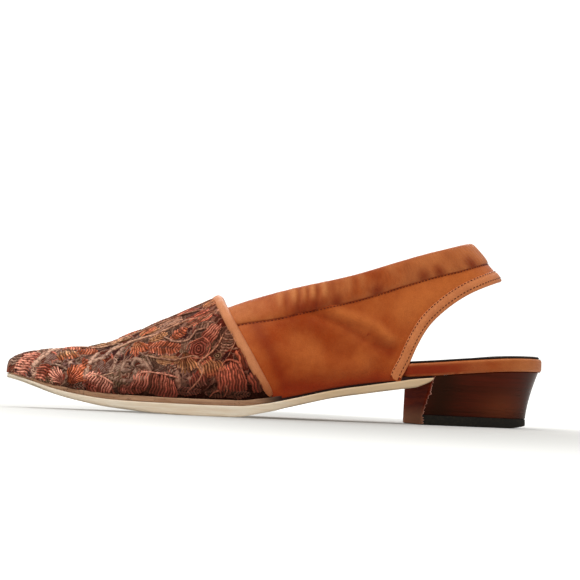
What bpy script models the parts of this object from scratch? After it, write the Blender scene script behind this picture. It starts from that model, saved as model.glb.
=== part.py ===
"""A slingback shoe with a brocade vamp, leather quarters and strap, and a low stacked block heel.

Metres, +Z up. The toe points to -X and the heel to +X, the outer side of the foot is -Y, and the
shoe stands on z = 0 with the middle of its length at x = 0.
"""
import math

import bmesh
import bpy

MM = 0.001

# Overall sizes
LENGTH = 268.5 * MM          # toe tip to the back of the heel seat
BALL_WIDTH = 73 * MM         # sole across the ball of the foot
SEAT_WIDTH = 52 * MM         # heel seat, side to side
TOE_SPRING = 9 * MM          # how far the toe lifts above the ball
HEEL_RISE = 21.5 * MM        # how far the heel seat lies above the ball
THROAT_HEIGHT = 59.5 * MM    # floor to the crest of the vamp
STRAP_HEIGHT = 93.7 * MM     # floor to the top of the strap, at the back
STRAP_WIDTH = 18.5 * MM      # top to lower edge of the strap, at the back
STRAP_LEAN = 39 * MM         # the strap's top edge, ahead of the back of the seat

# Thicknesses
OUTSOLE = 3.5 * MM
MIDSOLE = 2.6 * MM
INSOLE = 6.2 * MM
SOCK = 0.8 * MM
WALL = 1.4 * MM              # leather and lining of the upper
COVER = 0.8 * MM             # brocade, band and facing over the upper
PIPING = 1.8 * MM            # rolled binding over the upper
GAP = 0.3 * MM               # between pieces that touch

# Widths of strips and edges
PIPING_WIDTH = 5.0 * MM
BAND_HEIGHT = 12.0 * MM
FACING_WIDTH = 6.0 * MM
UPPER_INSET = 0.5 * MM       # brocade, in from the sole's edge
WAIST_INSET = 1.4 * MM       # midsole, in from the sole's edge under the arch
SEAT_INSET = 0.6 * MM        # heel seat, in from the plan outline
SOCK_INSET = 1.3 * MM        # sock, in from the edge of the seat

# Heel
LIFT = 4.9 * MM              # rubber top piece
LIFT_WEAR = 1.4 * MM         # how far its back edge is worn up
HEEL_LENGTH = 64.5 * MM      # top of the breast to the back of the seat
HEEL_FRONT_RAKE = 2.9 * MM   # the breast's foot, ahead of its top
HEEL_BACK_RAKE = 5.4 * MM    # the heel's foot, ahead of its top, at the back
HEEL_FOOT_WIDTH = 30 * MM    # side to side on the floor
HEEL_INSET = 1.5 * MM        # heel, in from the edge of the seat
LIP_LENGTH = 8.0 * MM        # how far ahead of the breast the outsole is skived
LIP_EDGE = 0.4 * MM          # thickness left at the end of that lip
SEAT_STEP = 4.3 * MM         # the quarter's end to where the insole widens into the seat

BALL_FLAT = (0.315, 0.385)   # where the forefoot lies flat, as shares of the length
SEAT_ROUND = 0.87            # where the seat starts to round, as a share of the length
SEAT_FULLNESS = 2.3          # 2 is an ellipse, more is squarer
BELLY = 0.7 * MM             # how far the outsole's middle hangs below its edge
LAST_TIP = 0.9985            # the last ring of a rounded end, as a share of the way to its tip
WELD = 0.02 * MM             # points closer than this are one

# Plan of the sole: half widths on each side, as shares of half the ball width
PLAN = [
    # at, outer, inner
    (0.000, 0.11, 0.20),
    (0.015, 0.18, 0.28),
    (0.040, 0.27, 0.38),
    (0.090, 0.41, 0.53),
    (0.165, 0.61, 0.74),
    (0.260, 0.82, 0.92),
    (0.350, 0.97, 0.98),
    (0.435, 1.04, 0.92),
    (0.520, 0.98, 0.80),
    (0.595, 0.86, 0.71),
    (0.685, 0.755, 0.67),
    (0.760, 0.715, 0.69),
    (0.870, 0.712, 0.712),
    (1.000, 0.712, 0.712),
]

# Feather line, where the upper meets the sole: shares of the toe spring and of the heel rise
FEATHER = [
    # at, toe, heel
    (0.000, 1.00, 0.00),
    (0.020, 0.88, 0.00),
    (0.050, 0.64, 0.00),
    (0.080, 0.42, 0.00),
    (0.120, 0.23, 0.00),
    (0.180, 0.07, 0.00),
    (0.260, 0.01, 0.00),
    (0.330, 0.00, 0.00),
    (0.400, 0.00, 0.01),
    (0.445, 0.00, 0.085),
    (0.490, 0.00, 0.21),
    (0.570, 0.00, 0.45),
    (0.640, 0.00, 0.60),
    (0.700, 0.00, 0.69),
    (0.760, 0.00, 0.765),
    (0.830, 0.00, 0.86),
    (0.920, 0.00, 0.96),
    (1.000, 0.00, 1.00),
]

# Thickness of each layer of the bottom, as shares of its named thickness
LAYERS = [
    # at, outsole, midsole, insole
    (0.000, 0.30, 0.30, 0.30),
    (0.050, 0.40, 0.45, 0.33),
    (0.120, 0.62, 0.80, 0.36),
    (0.200, 0.92, 1.00, 0.38),
    (0.300, 1.38, 1.00, 0.38),
    (0.385, 1.38, 1.00, 0.38),
    (0.440, 1.10, 1.00, 0.45),
    (0.520, 0.95, 1.00, 0.70),
    (0.620, 0.97, 1.00, 0.92),
    (0.690, 1.00, 0.70, 1.00),
    (0.722, 1.05, 0.45, 1.00),
    (0.760, 1.05, 0.36, 1.00),
    (1.000, 1.05, 0.36, 1.00),
]

# Where the midsole is drawn in under the arch, as a share of the waist inset
WAIST = [
    # at, inset
    (0.00, 0.15),
    (0.40, 0.15),
    (0.50, 1.00),
    (1.00, 1.00),
]

# The last: ridge above the feather line as a share of the throat height, how square its
# sections are (1 is an ellipse, less is squarer), and its share of the strap's lean
LAST = [
    # at, ridge, square, lean
    (0.000, 0.050, 0.80, 0.00),
    (0.011, 0.085, 0.80, 0.00),
    (0.030, 0.145, 0.82, 0.00),
    (0.055, 0.200, 0.85, 0.00),
    (0.085, 0.250, 0.88, 0.00),
    (0.115, 0.287, 0.90, 0.00),
    (0.150, 0.325, 0.92, 0.00),
    (0.185, 0.392, 0.94, 0.00),
    (0.225, 0.480, 0.95, 0.00),
    (0.265, 0.570, 0.96, 0.00),
    (0.310, 0.670, 0.97, 0.00),
    (0.360, 0.784, 0.97, 0.00),
    (0.410, 0.930, 0.96, 0.00),
    (0.480, 1.150, 0.94, 0.00),
    (0.560, 1.420, 0.92, 0.03),
    (0.640, 1.700, 0.92, 0.12),
    (0.720, 1.850, 0.94, 0.32),
    (0.800, 1.900, 0.96, 0.62),
    (0.880, 1.900, 0.98, 0.82),
    (0.940, 1.900, 1.00, 0.95),
    (1.000, 1.900, 1.00, 1.00),
]

# The line of the strap's back: height above the seat and lean, as shares of the strap's own
BACK_LINE = [
    # height, lean
    (0.00, 0.00),
    (0.31, 0.13),
    (0.72, 0.57),
    (1.00, 1.00),
    (1.40, 1.38),
    (1.80, 1.52),
]

# Edge of the vamp from its crest to the sole, seen from the side: shares of the length and of
# the way from the feather line to the crest
VAMP_EDGE = [
    # at, height
    (0.3660, 1.10),
    (0.3690, 0.90),
    (0.3780, 0.75),
    (0.3930, 0.58),
    (0.4150, 0.37),
    (0.4360, 0.17),
    (0.4670, -0.10),
]

# Top edge of the quarter and strap: shares of the length and of the way from the throat's side
# to the strap's top
TOPLINE = [
    # at, height
    (0.3570, -0.06),
    (0.3830, 0.00),
    (0.4150, 0.08),
    (0.4860, 0.235),
    (0.5970, 0.445),
    (0.6925, 0.665),
    (0.7500, 0.790),
    (0.7930, 0.872),
    (0.8520, 0.990),
    (0.9250, 1.110),
]
THROAT_SIDE = 0.857          # the topline's front end, as a share of the throat height

# Height of the band, which narrows towards the vamp, as a share of the named height
BAND = [
    # at, height
    (0.380, 0.70),
    (0.480, 1.00),
    (1.000, 1.00),
]

# Rear edge of the quarter and lower edge of the strap, from the sole to the back: shares of
# the way from the quarter's heel end to the strap's back, and of the height between them
REAR_EDGE = [
    # along, height
    (-0.020, -0.080),
    (0.000, 0.000),
    (0.068, 0.145),
    (0.127, 0.290),
    (0.232, 0.485),
    (0.400, 0.670),
    (0.622, 0.835),
    (0.855, 0.945),
    (1.000, 1.000),
    (1.350, 1.120),
]
QUARTER_END = 0.697          # the quarter's lower rear corner, as a share of the length
STRAP_END = 0.912            # the strap's lower back corner, as a share of the length

# Wear of the rubber lift, as a share of the named wear
WORN = [
    # at, wear
    (0.000, 0.0),
    (0.925, 0.0),
    (0.975, 1.0),
    (1.000, 1.0),
]

COLOURS = {
    # name: red, green, blue, roughness
    "brocade": (0.10, 0.045, 0.03, 0.75),
    "leather": (0.40, 0.13, 0.03, 0.42),
    "pale_leather": (0.60, 0.32, 0.16, 0.45),
    "band_leather": (0.45, 0.18, 0.06, 0.48),
    "sock_lining": (0.02, 0.012, 0.01, 0.6),
    "sole_leather": (0.62, 0.50, 0.33, 0.55),
    "sole_edge": (0.33, 0.22, 0.12, 0.65),
    "heel_wood": (0.05, 0.012, 0.007, 0.3),
    "rubber": (0.012, 0.011, 0.008, 0.7),
}


def along(table, column):
    """A smooth curve through one column of a table, with no overshoot between its rows."""
    places = [row[0] for row in table]
    values = [row[column] for row in table]
    steps = [b - a for a, b in zip(places, places[1:])]
    slopes = [(b - a) / step for a, b, step in zip(values, values[1:], steps)]
    tangents = [slopes[0]]
    for before, after in zip(slopes, slopes[1:]):
        same_way = before * after > 0
        tangents.append(2 * before * after / (before + after) if same_way else 0.0)
    tangents.append(slopes[-1])

    def at(place):
        place = min(max(place, places[0]), places[-1])
        row = max(i for i in range(len(steps)) if places[i] <= place)
        t = (place - places[row]) / steps[row]
        bend = t * t * (3 - 2 * t)
        out = t * (1 - t) ** 2 * tangents[row]
        back = t * t * (t - 1) * tangents[row + 1]
        return values[row] * (1 - bend) + values[row + 1] * bend + (out + back) * steps[row]
    return at


plan_outer = along(PLAN, 1)
plan_inner = along(PLAN, 2)
toe_share = along(FEATHER, 1)
heel_share = along(FEATHER, 2)
outsole_share = along(LAYERS, 1)
midsole_share = along(LAYERS, 2)
insole_share = along(LAYERS, 3)
ridge_share = along(LAST, 1)
square_share = along(LAST, 2)
lean_share = along(LAST, 3)
back_line = along(BACK_LINE, 1)

HEEL_FRONT = LENGTH - HEEL_LENGTH
BREAST = HEEL_FRONT / LENGTH
SOLE_END = BREAST - 2 * GAP / LENGTH
SOLE_STACK = OUTSOLE * outsole_share(BALL_FLAT[0]) + MIDSOLE + GAP
SEAT_LEVEL = SOLE_STACK + HEEL_RISE
STRAP_RISE = STRAP_HEIGHT - SEAT_LEVEL
LAST_INSET = UPPER_INSET + WALL + GAP + COVER


def x_of(share):
    """Share of the length, from the toe tip, as an x."""
    return (share - 0.5) * LENGTH


def feather(share):
    """Height of the line where the upper meets the sole."""
    return SOLE_STACK + TOE_SPRING * toe_share(share) + HEEL_RISE * heel_share(share)


def midsole_foot(share):
    return feather(share) - MIDSOLE * midsole_share(share)


def outsole_foot(share):
    """Underside of the outsole: thin at the toe, and skived to a lip ahead of the breast."""
    whole = OUTSOLE * outsole_share(share)
    ahead = min(max((SOLE_END - share) * LENGTH / LIP_LENGTH, 0), 1)
    lip = LIP_EDGE + (whole - LIP_EDGE) * math.sqrt(1 - (1 - ahead) ** 2)
    return midsole_foot(share) - GAP - lip


def insole_top(share):
    return feather(share) + GAP + INSOLE * insole_share(share)


def half_widths(share, inset):
    """Outer and inner half width of the plan outline, drawn in by the inset."""
    reach = 1 - inset / LENGTH
    around = max(0.0, (share - SEAT_ROUND) / (reach - SEAT_ROUND))
    rounding = max(0.0, 1 - around ** SEAT_FULLNESS) ** (1 / SEAT_FULLNESS)
    seat = SEAT_WIDTH / BALL_WIDTH / plan_outer(1.0)
    widen = 1 + (seat - 1) * heel_share(share)
    half = BALL_WIDTH / 2 * widen
    outer = max(half * plan_outer(share) - inset, 0) * rounding
    inner = max(half * plan_inner(share) - inset, 0) * rounding
    return outer, inner


def seat_places(inset, count):
    """Places round the back of the seat, closer together towards its end."""
    reach = 1 - inset / LENGTH
    turns = [math.sin(math.pi / 2 * (i + 1) / count) for i in range(count - 1)]
    return [SEAT_ROUND + (reach - SEAT_ROUND) * turn for turn in turns + [LAST_TIP]]


def loft(rings):
    """A closed body through rings of as many points each. Its ends are capped from side to side,
    point by point, because a ring runs out along one side and back along the other."""
    body = bmesh.new()
    rows = [[body.verts.new(point) for point in ring] for ring in rings]
    count = len(rows[0])
    for row, following in zip(rows, rows[1:]):
        for i in range(count):
            j = (i + 1) % count
            body.faces.new((row[i], row[j], following[j], following[i]))
    for row in (rows[0], rows[-1]):
        for i in range((count - 1) // 2):
            corners = (row[i], row[i + 1], row[count - 2 - i], row[count - 1 - i])
            body.faces.new(list(dict.fromkeys(corners)))
    bmesh.ops.remove_doubles(body, verts=body.verts, dist=WELD)
    bmesh.ops.dissolve_degenerate(body, edges=body.edges, dist=WELD)
    bmesh.ops.recalc_face_normals(body, faces=body.faces)
    return body


def as_object(name, body, collection):
    mesh = bpy.data.meshes.new(name)
    body.to_mesh(mesh)
    body.free()
    piece = bpy.data.objects.new(name, mesh)
    collection.objects.link(piece)
    return piece


def finish(piece, colour, angle=math.radians(32)):
    """Gives a piece its material and smooth shading."""
    red, green, blue, roughness = COLOURS[colour]
    material = bpy.data.materials.get(colour) or bpy.data.materials.new(colour)
    material.use_nodes = True
    shader = material.node_tree.nodes["Principled BSDF"]
    shader.inputs["Base Color"].default_value = (red, green, blue, 1)
    shader.inputs["Roughness"].default_value = roughness
    shader.inputs["Metallic"].default_value = 0.0
    piece.data.materials.append(material)
    piece.data.shade_smooth()
    piece.data.set_sharp_from_angle(angle=angle)
    return piece


LAST_PLACES = [0.011, 0.018, 0.03, 0.05, 0.08, 0.115, 0.15, 0.185, 0.225, 0.265, 0.305, 0.345, 0.375,
               0.405, 0.445, 0.49, 0.54, 0.59, 0.64, 0.69, 0.74, 0.785, 0.83]
LAST_SIDES = 10              # steps from the feather line to the ridge
LAST_DEPTH = 6 * MM          # how far the last's sides run on below the feather line


def last_ring(share):
    """One section of the last, up its outer side, over the ridge and down its inner side."""
    outer, inner = half_widths(share, LAST_INSET)
    low = feather(share)
    ridge = THROAT_HEIGHT * ridge_share(share)
    square = square_share(share)
    sides = []
    for step in range(LAST_SIDES + 1):
        turn = math.pi / 2 * step / LAST_SIDES
        across = math.cos(turn) ** square if step < LAST_SIDES else 0.0
        up = ridge * math.sin(turn) ** square
        lean = STRAP_LEAN * lean_share(share) * back_line(up / STRAP_RISE)
        sides.append((x_of(share) - lean, across, low + up))
    foot = x_of(share), 1.0, low - LAST_DEPTH
    outer_side = [(x, -outer * across, z) for x, across, z in [foot] + sides]
    inner_side = [(x, inner * across, z) for x, across, z in [foot] + sides[:-1]]
    return outer_side + inner_side[::-1]


def last_form(name, grow, collection):
    """The last as a solid, grown outwards evenly."""
    places = LAST_PLACES + seat_places(LAST_INSET, 8)
    body = loft([last_ring(share) for share in places])
    body.normal_update()
    moves = [(v, v.normal * grow * v.calc_shell_factor()) for v in body.verts]
    for vert, move in moves:
        vert.co += move
    return as_object(name, body, collection)


def draw(table, place, height, steps):
    """A smooth line through a table of side-view points, as (x, z) pairs."""
    count = len(table) - 1
    numbered = [(i,) + row for i, row in enumerate(table)]
    across, up = along(numbered, 1), along(numbered, 2)
    shares = [(across(count * i / steps), up(count * i / steps)) for i in range(steps + 1)]
    return [(place(a), height(a, b)) for a, b in shares]


def shifted(line, distance, share=lambda place: 1.0):
    """The line moved sideways: to its left, seen along it with +Z up."""
    moved = []
    for i, (x, z) in enumerate(line):
        x0, z0 = line[max(i - 1, 0)]
        x1, z1 = line[min(i + 1, len(line) - 1)]
        reach = distance * share(x / LENGTH + 0.5) / math.hypot(x1 - x0, z1 - z0)
        moved.append((x - (z1 - z0) * reach, z + (x1 - x0) * reach))
    return moved


def side_cutter(name, outline, collection):
    """The outline, drawn in the side view, as a slab across the whole shoe."""
    curve = bpy.data.curves.new(name, "CURVE")
    curve.dimensions = "2D"
    curve.fill_mode = "BOTH"
    curve.extrude = BALL_WIDTH
    spline = curve.splines.new("POLY")
    spline.points.add(len(outline) - 1)
    for point, (x, z) in zip(spline.points, outline):
        point.co = (x, z, 0, 1)
    spline.use_cyclic_u = True
    drawn = bpy.data.objects.new(name + "_line", curve)
    collection.objects.link(drawn)
    drawn.rotation_euler = (math.pi / 2, 0, 0)
    bpy.context.view_layer.update()
    evaluated = drawn.evaluated_get(bpy.context.evaluated_depsgraph_get())
    body = bmesh.new()
    mesh = bpy.data.meshes.new_from_object(evaluated)
    body.from_mesh(mesh)
    bmesh.ops.transform(body, matrix=drawn.matrix_world, verts=body.verts)
    bmesh.ops.remove_doubles(body, verts=body.verts, dist=WELD / 2)
    bmesh.ops.recalc_face_normals(body, faces=body.faces)
    bpy.data.objects.remove(drawn)
    bpy.data.meshes.remove(mesh)
    return as_object(name, body, collection)


def cut(piece, operation, cutter):
    boolean = piece.modifiers.new(cutter.name, "BOOLEAN")
    boolean.operation = operation
    boolean.solver = "EXACT"
    boolean.object = cutter


def layer(name, inside, outside, outline, colour, parts, cutters):
    """A wall between two grown lasts, kept where the side-view outline lies over it."""
    piece = last_form(name, outside, parts)
    cut(piece, "INTERSECT", side_cutter(name + "_outline", outline, cutters))
    cut(piece, "DIFFERENCE", last_form(name + "_hollow", inside, cutters))
    return finish(piece, colour)


def edge_height(share, part):
    """Height of a point on the vamp's edge."""
    low = feather(share)
    return low + (THROAT_HEIGHT - low) * part


def topline_height(share, part):
    front = THROAT_HEIGHT * THROAT_SIDE
    return front + (STRAP_HEIGHT - front) * part


def rear_place(part):
    return x_of(QUARTER_END + (STRAP_END - QUARTER_END) * part)


def rear_height(part, up):
    low = feather(QUARTER_END)
    return low + (STRAP_HEIGHT - STRAP_WIDTH - low) * up


FRONT_CLEAR = x_of(0.0) - BAND_HEIGHT   # where the outlines run on to, clear of the last
BACK_CLEAR = x_of(1.0) + BAND_HEIGHT
CREST_CLEAR = THROAT_HEIGHT + BAND_HEIGHT


def side_lines():
    """The lines that bound the upper's layers, all in the side view."""
    lines = {}
    lines["vamp"] = draw(VAMP_EDGE, x_of, edge_height, 18)
    lines["top"] = draw(TOPLINE, x_of, topline_height, 26)
    lines["rear"] = draw(REAR_EDGE, rear_place, rear_height, 26)
    lines["band"] = shifted(lines["top"], -BAND_HEIGHT, along(BAND, 1))
    places = [i / 30 for i in range(31)]
    lines["foot"] = [(x_of(p), feather(p) + GAP) for p in places if p <= QUARTER_END]
    return lines


def upper(lines, parts, cutters):
    """The wall of the upper: vamp base, quarters and sling strap in one hollow piece."""
    crest = [(lines["vamp"][0][0] + PIPING_WIDTH / 2, CREST_CLEAR)]
    front = [(FRONT_CLEAR, CREST_CLEAR), (FRONT_CLEAR, feather(0) + GAP)]
    topline = [point for point in lines["top"] if point[0] > crest[0][0]]
    rear = [point for point in lines["rear"] if point[1] > feather(QUARTER_END) + GAP]
    far = [(BACK_CLEAR, topline[-1][1]), (BACK_CLEAR, rear[-1][1])]
    outline = front + lines["foot"] + rear + far[::-1] + topline[::-1] + crest
    return layer("upper", 0.0, WALL, outline, "leather", parts, cutters)


def vamp_cover(lines, parts, cutters):
    """The embroidered cloth over the forepart, up to the piping."""
    edge = trimmed(shifted(lines["vamp"], -PIPING_WIDTH / 2 - GAP))
    front = [(FRONT_CLEAR, feather(0) + GAP), (FRONT_CLEAR, CREST_CLEAR)]
    foot = [point for point in lines["foot"] if point[0] < edge[-1][0] - GAP]
    outline = front + edge + foot[::-1]
    return layer("vamp_cover", WALL + GAP, WALL + GAP + COVER, outline, "brocade", parts, cutters)


def vamp_piping(lines, parts, cutters):
    """The rolled binding along the vamp's rear edge, over the throat and down to the sole."""
    ahead = shifted(lines["vamp"], -PIPING_WIDTH / 2)
    behind = shifted(lines["vamp"], PIPING_WIDTH / 2)
    outline = trimmed(ahead) + trimmed(behind)[::-1]
    return layer("vamp_piping", WALL + GAP, WALL + GAP + PIPING, outline, "pale_leather",
                 parts, cutters)


def trimmed(line):
    """The part of a line that lies above the feather line, ending on it."""
    above = [(x, z) for x, z in line if z > feather(x / LENGTH + 0.5) + 2 * GAP]
    x = above[-1][0]
    return above + [(x, feather(x / LENGTH + 0.5) + GAP)]


def top_band(lines, parts, cutters):
    """The gathered casing along the topline and round the back of the strap."""
    behind = shifted(lines["vamp"], PIPING_WIDTH / 2 + GAP)
    edges = []
    for line in (lines["top"], lines["band"]):
        clear = [point for point in line if clear_of(point, behind)]
        edges.append([crossing(line, behind)] + clear + [(BACK_CLEAR, clear[-1][1])])
    outline = edges[0] + edges[1][::-1]
    return layer("top_band", WALL + GAP, WALL + GAP + COVER, outline, "band_leather",
                 parts, cutters)


def clear_of(point, edge):
    """Whether a point lies behind an edge that runs from high to low."""
    x, z = point
    return x > x_on(edge, z)


def x_on(edge, z):
    """Where an edge that runs from high to low stands at a height."""
    for (x0, z0), (x1, z1) in zip(edge, edge[1:]):
        if z1 <= z <= z0:
            return x0 + (x1 - x0) * (z0 - z) / (z0 - z1)
    return edge[0][0] if z > edge[0][1] else edge[-1][0]


def crossing(line, edge):
    """The point where a line running backwards crosses the edge."""
    for (x0, z0), (x1, z1) in zip(line, line[1:]):
        gap0, gap1 = x0 - x_on(edge, z0), x1 - x_on(edge, z1)
        if gap0 <= 0 < gap1:
            t = gap0 / (gap0 - gap1)
            return x0 + (x1 - x0) * t, z0 + (z1 - z0) * t
    return line[0]


def rear_facing(lines, parts, cutters):
    """The stitched strip along the quarter's rear edge and under the strap."""
    edge = [p for p in lines["rear"] if p[1] > feather(QUARTER_END) + GAP]
    foot = (edge[0][0] - GAP, feather(QUARTER_END) + GAP)
    inner = shifted([foot] + edge, FACING_WIDTH)
    base = [p for p in inner if p[1] > feather(QUARTER_END) + GAP]
    start = (base[0][0], feather(QUARTER_END) + GAP)
    base = [(x, min(z, z_on(lines["band"], x) - GAP)) for x, z in base]
    far = [(BACK_CLEAR, edge[-1][1]), (BACK_CLEAR, base[-1][1])]
    outline = [foot] + edge + far + base[::-1] + [start]
    return layer("rear_facing", WALL + GAP, WALL + GAP + COVER, outline, "leather",
                 parts, cutters)


def z_on(line, x):
    """Height of a line that runs backwards, at an x."""
    for (x0, z0), (x1, z1) in zip(line, line[1:]):
        if x0 <= x <= x1:
            return z0 + (z1 - z0) * (x - x0) / (x1 - x0)
    return line[-1][1]


ACROSS = (-1.0, -0.6, 0.0, 0.6, 1.0)   # points across a sole, as shares of its half widths


def plate(name, places, inset, low, high, colour, parts, belly=lambda share: 0.0):
    """A layer of the sole: its plan follows the outline, its faces follow two height curves."""
    rings = []
    for share in places:
        outer, inner = half_widths(share, inset(share))
        x, sag = x_of(share), belly(share)
        across = [part * (inner if part > 0 else outer) for part in ACROSS]
        under = [(x, y, low(share) - sag * (1 - part ** 2)) for y, part in zip(across, ACROSS)]
        above = [(x, y, high(share)) for y in (inner, 0.0, -outer)]
        rings.append(under + above)
    return finish(as_object(name, loft(rings), parts), colour)


SOLE_PLACES = [0.0, 0.008, 0.02, 0.04, 0.07, 0.11, 0.16, 0.21, 0.26, 0.315, 0.35, 0.385, 0.42,
               0.46, 0.5, 0.55, 0.6, 0.65]


def outsole(parts):
    """The leather outsole: thin at the toe, full at the ball, skived to a lip at the breast."""
    lip = LIP_LENGTH / LENGTH
    waist = [SOLE_END - lip * part for part in (2.5, 1.0, 0.6, 0.3, 0.12, 0.03, 0.0)]

    def foot(share):
        return max(outsole_foot(share), 0.0)

    def belly(share):
        return min(BELLY, foot(share))
    return plate("outsole", SOLE_PLACES + waist, lambda s: 0.0, foot,
                 lambda s: midsole_foot(s) - GAP, "sole_leather", parts, belly)


def midsole(parts):
    """The thin layer between outsole and upper, drawn in under the arch."""
    drawn = along(WAIST, 1)
    places = [0.003] + SOLE_PLACES[1:] + [0.69, 0.72, SOLE_END]
    return plate("midsole", places, lambda s: WAIST_INSET * drawn(s), midsole_foot, feather,
                 "sole_edge", parts)


STEP = QUARTER_END + SEAT_STEP / LENGTH


def insole_inset(share):
    return SEAT_INSET if share >= STEP else LAST_INSET + 2 * GAP


def insole(parts):
    """The wrapped board: inside the upper at the front, the open heel seat at the back."""
    ahead = [0.018, 0.03, 0.055, 0.09, 0.14, 0.2, 0.27, 0.34, 0.4, 0.45, 0.5, 0.55, 0.6, 0.65, 0.68]
    places = ahead + [STEP - 0.0005, STEP, 0.74, 0.79, 0.84] + seat_places(SEAT_INSET, 7)
    return plate("insole", places, insole_inset, lambda s: feather(s) + GAP, insole_top,
                 "leather", parts)


def sock(parts):
    """The dark lining sheet on the insole."""
    ahead = [0.024, 0.04, 0.065, 0.1, 0.15, 0.21, 0.28, 0.35, 0.41, 0.46, 0.51, 0.56, 0.61, 0.66]
    places = ahead + [STEP, STEP + 0.01, 0.76, 0.81] + seat_places(SEAT_INSET + SOCK_INSET, 6)

    def inset(share):
        return SEAT_INSET + SOCK_INSET if share > STEP else LAST_INSET + 3 * GAP
    return plate("sock", places, inset, lambda s: insole_top(s) + GAP,
                 lambda s: insole_top(s) + GAP + SOCK, "sock_lining", parts)


HEEL_STEPS = 9               # points along each side of the heel
HEEL_FULLNESS = 2.6          # how square the heel's back is at its foot
HEEL_CURL = 1.6              # how hollow its back line is: 1 is straight


def heel_ring(level, height):
    """One outline of the heel: level 0 is its foot and 1 its top; height gives each z."""
    inset = SEAT_INSET + HEEL_INSET
    front = HEEL_FRONT - HEEL_FRONT_RAKE * (1 - level)
    back = LENGTH - inset - HEEL_BACK_RAKE * (1 - level ** HEEL_CURL)
    side = []
    for step in range(HEEL_STEPS + 1):
        part = math.sin(math.pi / 2 * step / HEEL_STEPS) if step < HEEL_STEPS else LAST_TIP
        top_place = (HEEL_FRONT + (LENGTH - inset - HEEL_FRONT) * part) / LENGTH
        outer, inner = half_widths(top_place, inset)
        foot = HEEL_FOOT_WIDTH / 2 * (1 - part ** HEEL_FULLNESS) ** (1 / HEEL_FULLNESS)
        place = front + (back - front) * part
        side.append((place, foot + (outer - foot) * level, foot + (inner - foot) * level))
    ring = [(x - LENGTH / 2, -outer, height(x / LENGTH)) for x, outer, _ in side]
    ring += [(x - LENGTH / 2, inner, height(x / LENGTH)) for x, _, inner in side[::-1]]
    return ring


def heel(parts):
    """The stacked block, tapering from the seat to the rubber lift."""
    rings = []
    for level in (0.0, 0.2, 0.45, 0.72, 1.0):
        floor = LIFT + GAP
        rings.append(heel_ring(level, lambda s, t=level, f=floor: f + (feather(s) - f) * t))
    return finish(as_object("heel", loft(rings), parts), "heel_wood")


def top_lift(parts):
    """The rubber piece that stands on the floor, worn up at the back."""
    worn = along(WORN, 1)
    rings = [heel_ring(0.0, lambda s: LIFT_WEAR * worn(s)), heel_ring(0.0, lambda s: LIFT)]
    return finish(as_object("top_lift", loft(rings), parts), "rubber")


def build():
    for old in list(bpy.data.objects):
        bpy.data.objects.remove(old)
    parts = bpy.data.collections.new("slingback_shoe")
    cutters = bpy.data.collections.new("cutters")
    bpy.context.scene.collection.children.link(parts)
    bpy.context.scene.collection.children.link(cutters)
    lines = side_lines()
    outsole(parts)
    midsole(parts)
    insole(parts)
    sock(parts)
    heel(parts)
    top_lift(parts)
    upper(lines, parts, cutters)
    vamp_cover(lines, parts, cutters)
    vamp_piping(lines, parts, cutters)
    top_band(lines, parts, cutters)
    rear_facing(lines, parts, cutters)
    for cutter in cutters.objects:
        cutter.hide_render = True
        cutter.display_type = "WIRE"


build()
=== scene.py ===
"""The looks of a slingback shoe: embroidered vamp, leather quarters and strap, stacked heel.

Metres. The toe points to -X, the outer side of the foot is -Y and faces the camera, and the shoe
stands on z = 0. Each piece is laid on the last, the form that the shoe was made on.
"""
import math

import bpy
import numpy as np
from mathutils import Matrix, Vector


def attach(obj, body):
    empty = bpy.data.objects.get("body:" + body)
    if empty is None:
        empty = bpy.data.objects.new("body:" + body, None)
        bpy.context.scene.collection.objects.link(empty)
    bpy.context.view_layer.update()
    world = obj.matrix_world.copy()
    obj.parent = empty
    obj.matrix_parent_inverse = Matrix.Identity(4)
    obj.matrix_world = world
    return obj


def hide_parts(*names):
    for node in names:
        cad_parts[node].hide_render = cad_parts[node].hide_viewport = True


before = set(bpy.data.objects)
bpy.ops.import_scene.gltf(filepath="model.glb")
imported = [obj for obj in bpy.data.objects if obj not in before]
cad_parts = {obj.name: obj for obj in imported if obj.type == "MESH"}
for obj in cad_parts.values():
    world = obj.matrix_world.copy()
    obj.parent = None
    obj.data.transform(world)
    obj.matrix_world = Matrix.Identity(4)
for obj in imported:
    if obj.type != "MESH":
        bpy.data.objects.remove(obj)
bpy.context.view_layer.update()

MM = 0.001

# Camera, read from the photo: where it stands, and how it is turned
EYE = Vector((-0.0866, -0.500, 0.00755))
EYE_RIGHT = Vector((0.98322, -0.17680, 0.04526))
EYE_UP = Vector((-0.06398, -0.10171, 0.99277))
LENS = 62.77                 # mm, on a square frame
SENSOR = 36.0                # mm

# Sizes of the shoe
LENGTH = 268.5 * MM
BALL_WIDTH = 73 * MM
SEAT_WIDTH = 52 * MM
TOE_SPRING = 9 * MM
HEEL_RISE = 21.5 * MM
THROAT_HEIGHT = 59.5 * MM
STRAP_HEIGHT = 93.7 * MM
STRAP_WIDTH = 18.5 * MM
STRAP_LEAN = 39 * MM
OUTSOLE = 3.5 * MM
MIDSOLE = 2.6 * MM
INSOLE = 6.2 * MM
SOCK = 0.8 * MM
WALL = 1.4 * MM
COVER = 0.8 * MM
PIPING = 1.8 * MM
GAP = 0.3 * MM
PIPING_WIDTH = 5.0 * MM
BAND_HEIGHT = 12.0 * MM
FACING_WIDTH = 6.0 * MM
UPPER_INSET = 0.5 * MM
WAIST_INSET = 1.4 * MM
SEAT_INSET = 0.6 * MM
SOCK_INSET = 1.3 * MM
LIFT = 4.9 * MM
LIFT_WEAR = 1.4 * MM
HEEL_LENGTH = 64.5 * MM
HEEL_FRONT_RAKE = 2.9 * MM
HEEL_BACK_RAKE = 5.4 * MM
HEEL_FOOT_WIDTH = 30 * MM
HEEL_INSET = 1.5 * MM
LIP_LENGTH = 8.0 * MM
LIP_EDGE = 0.4 * MM
SEAT_STEP = 4.3 * MM
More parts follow.
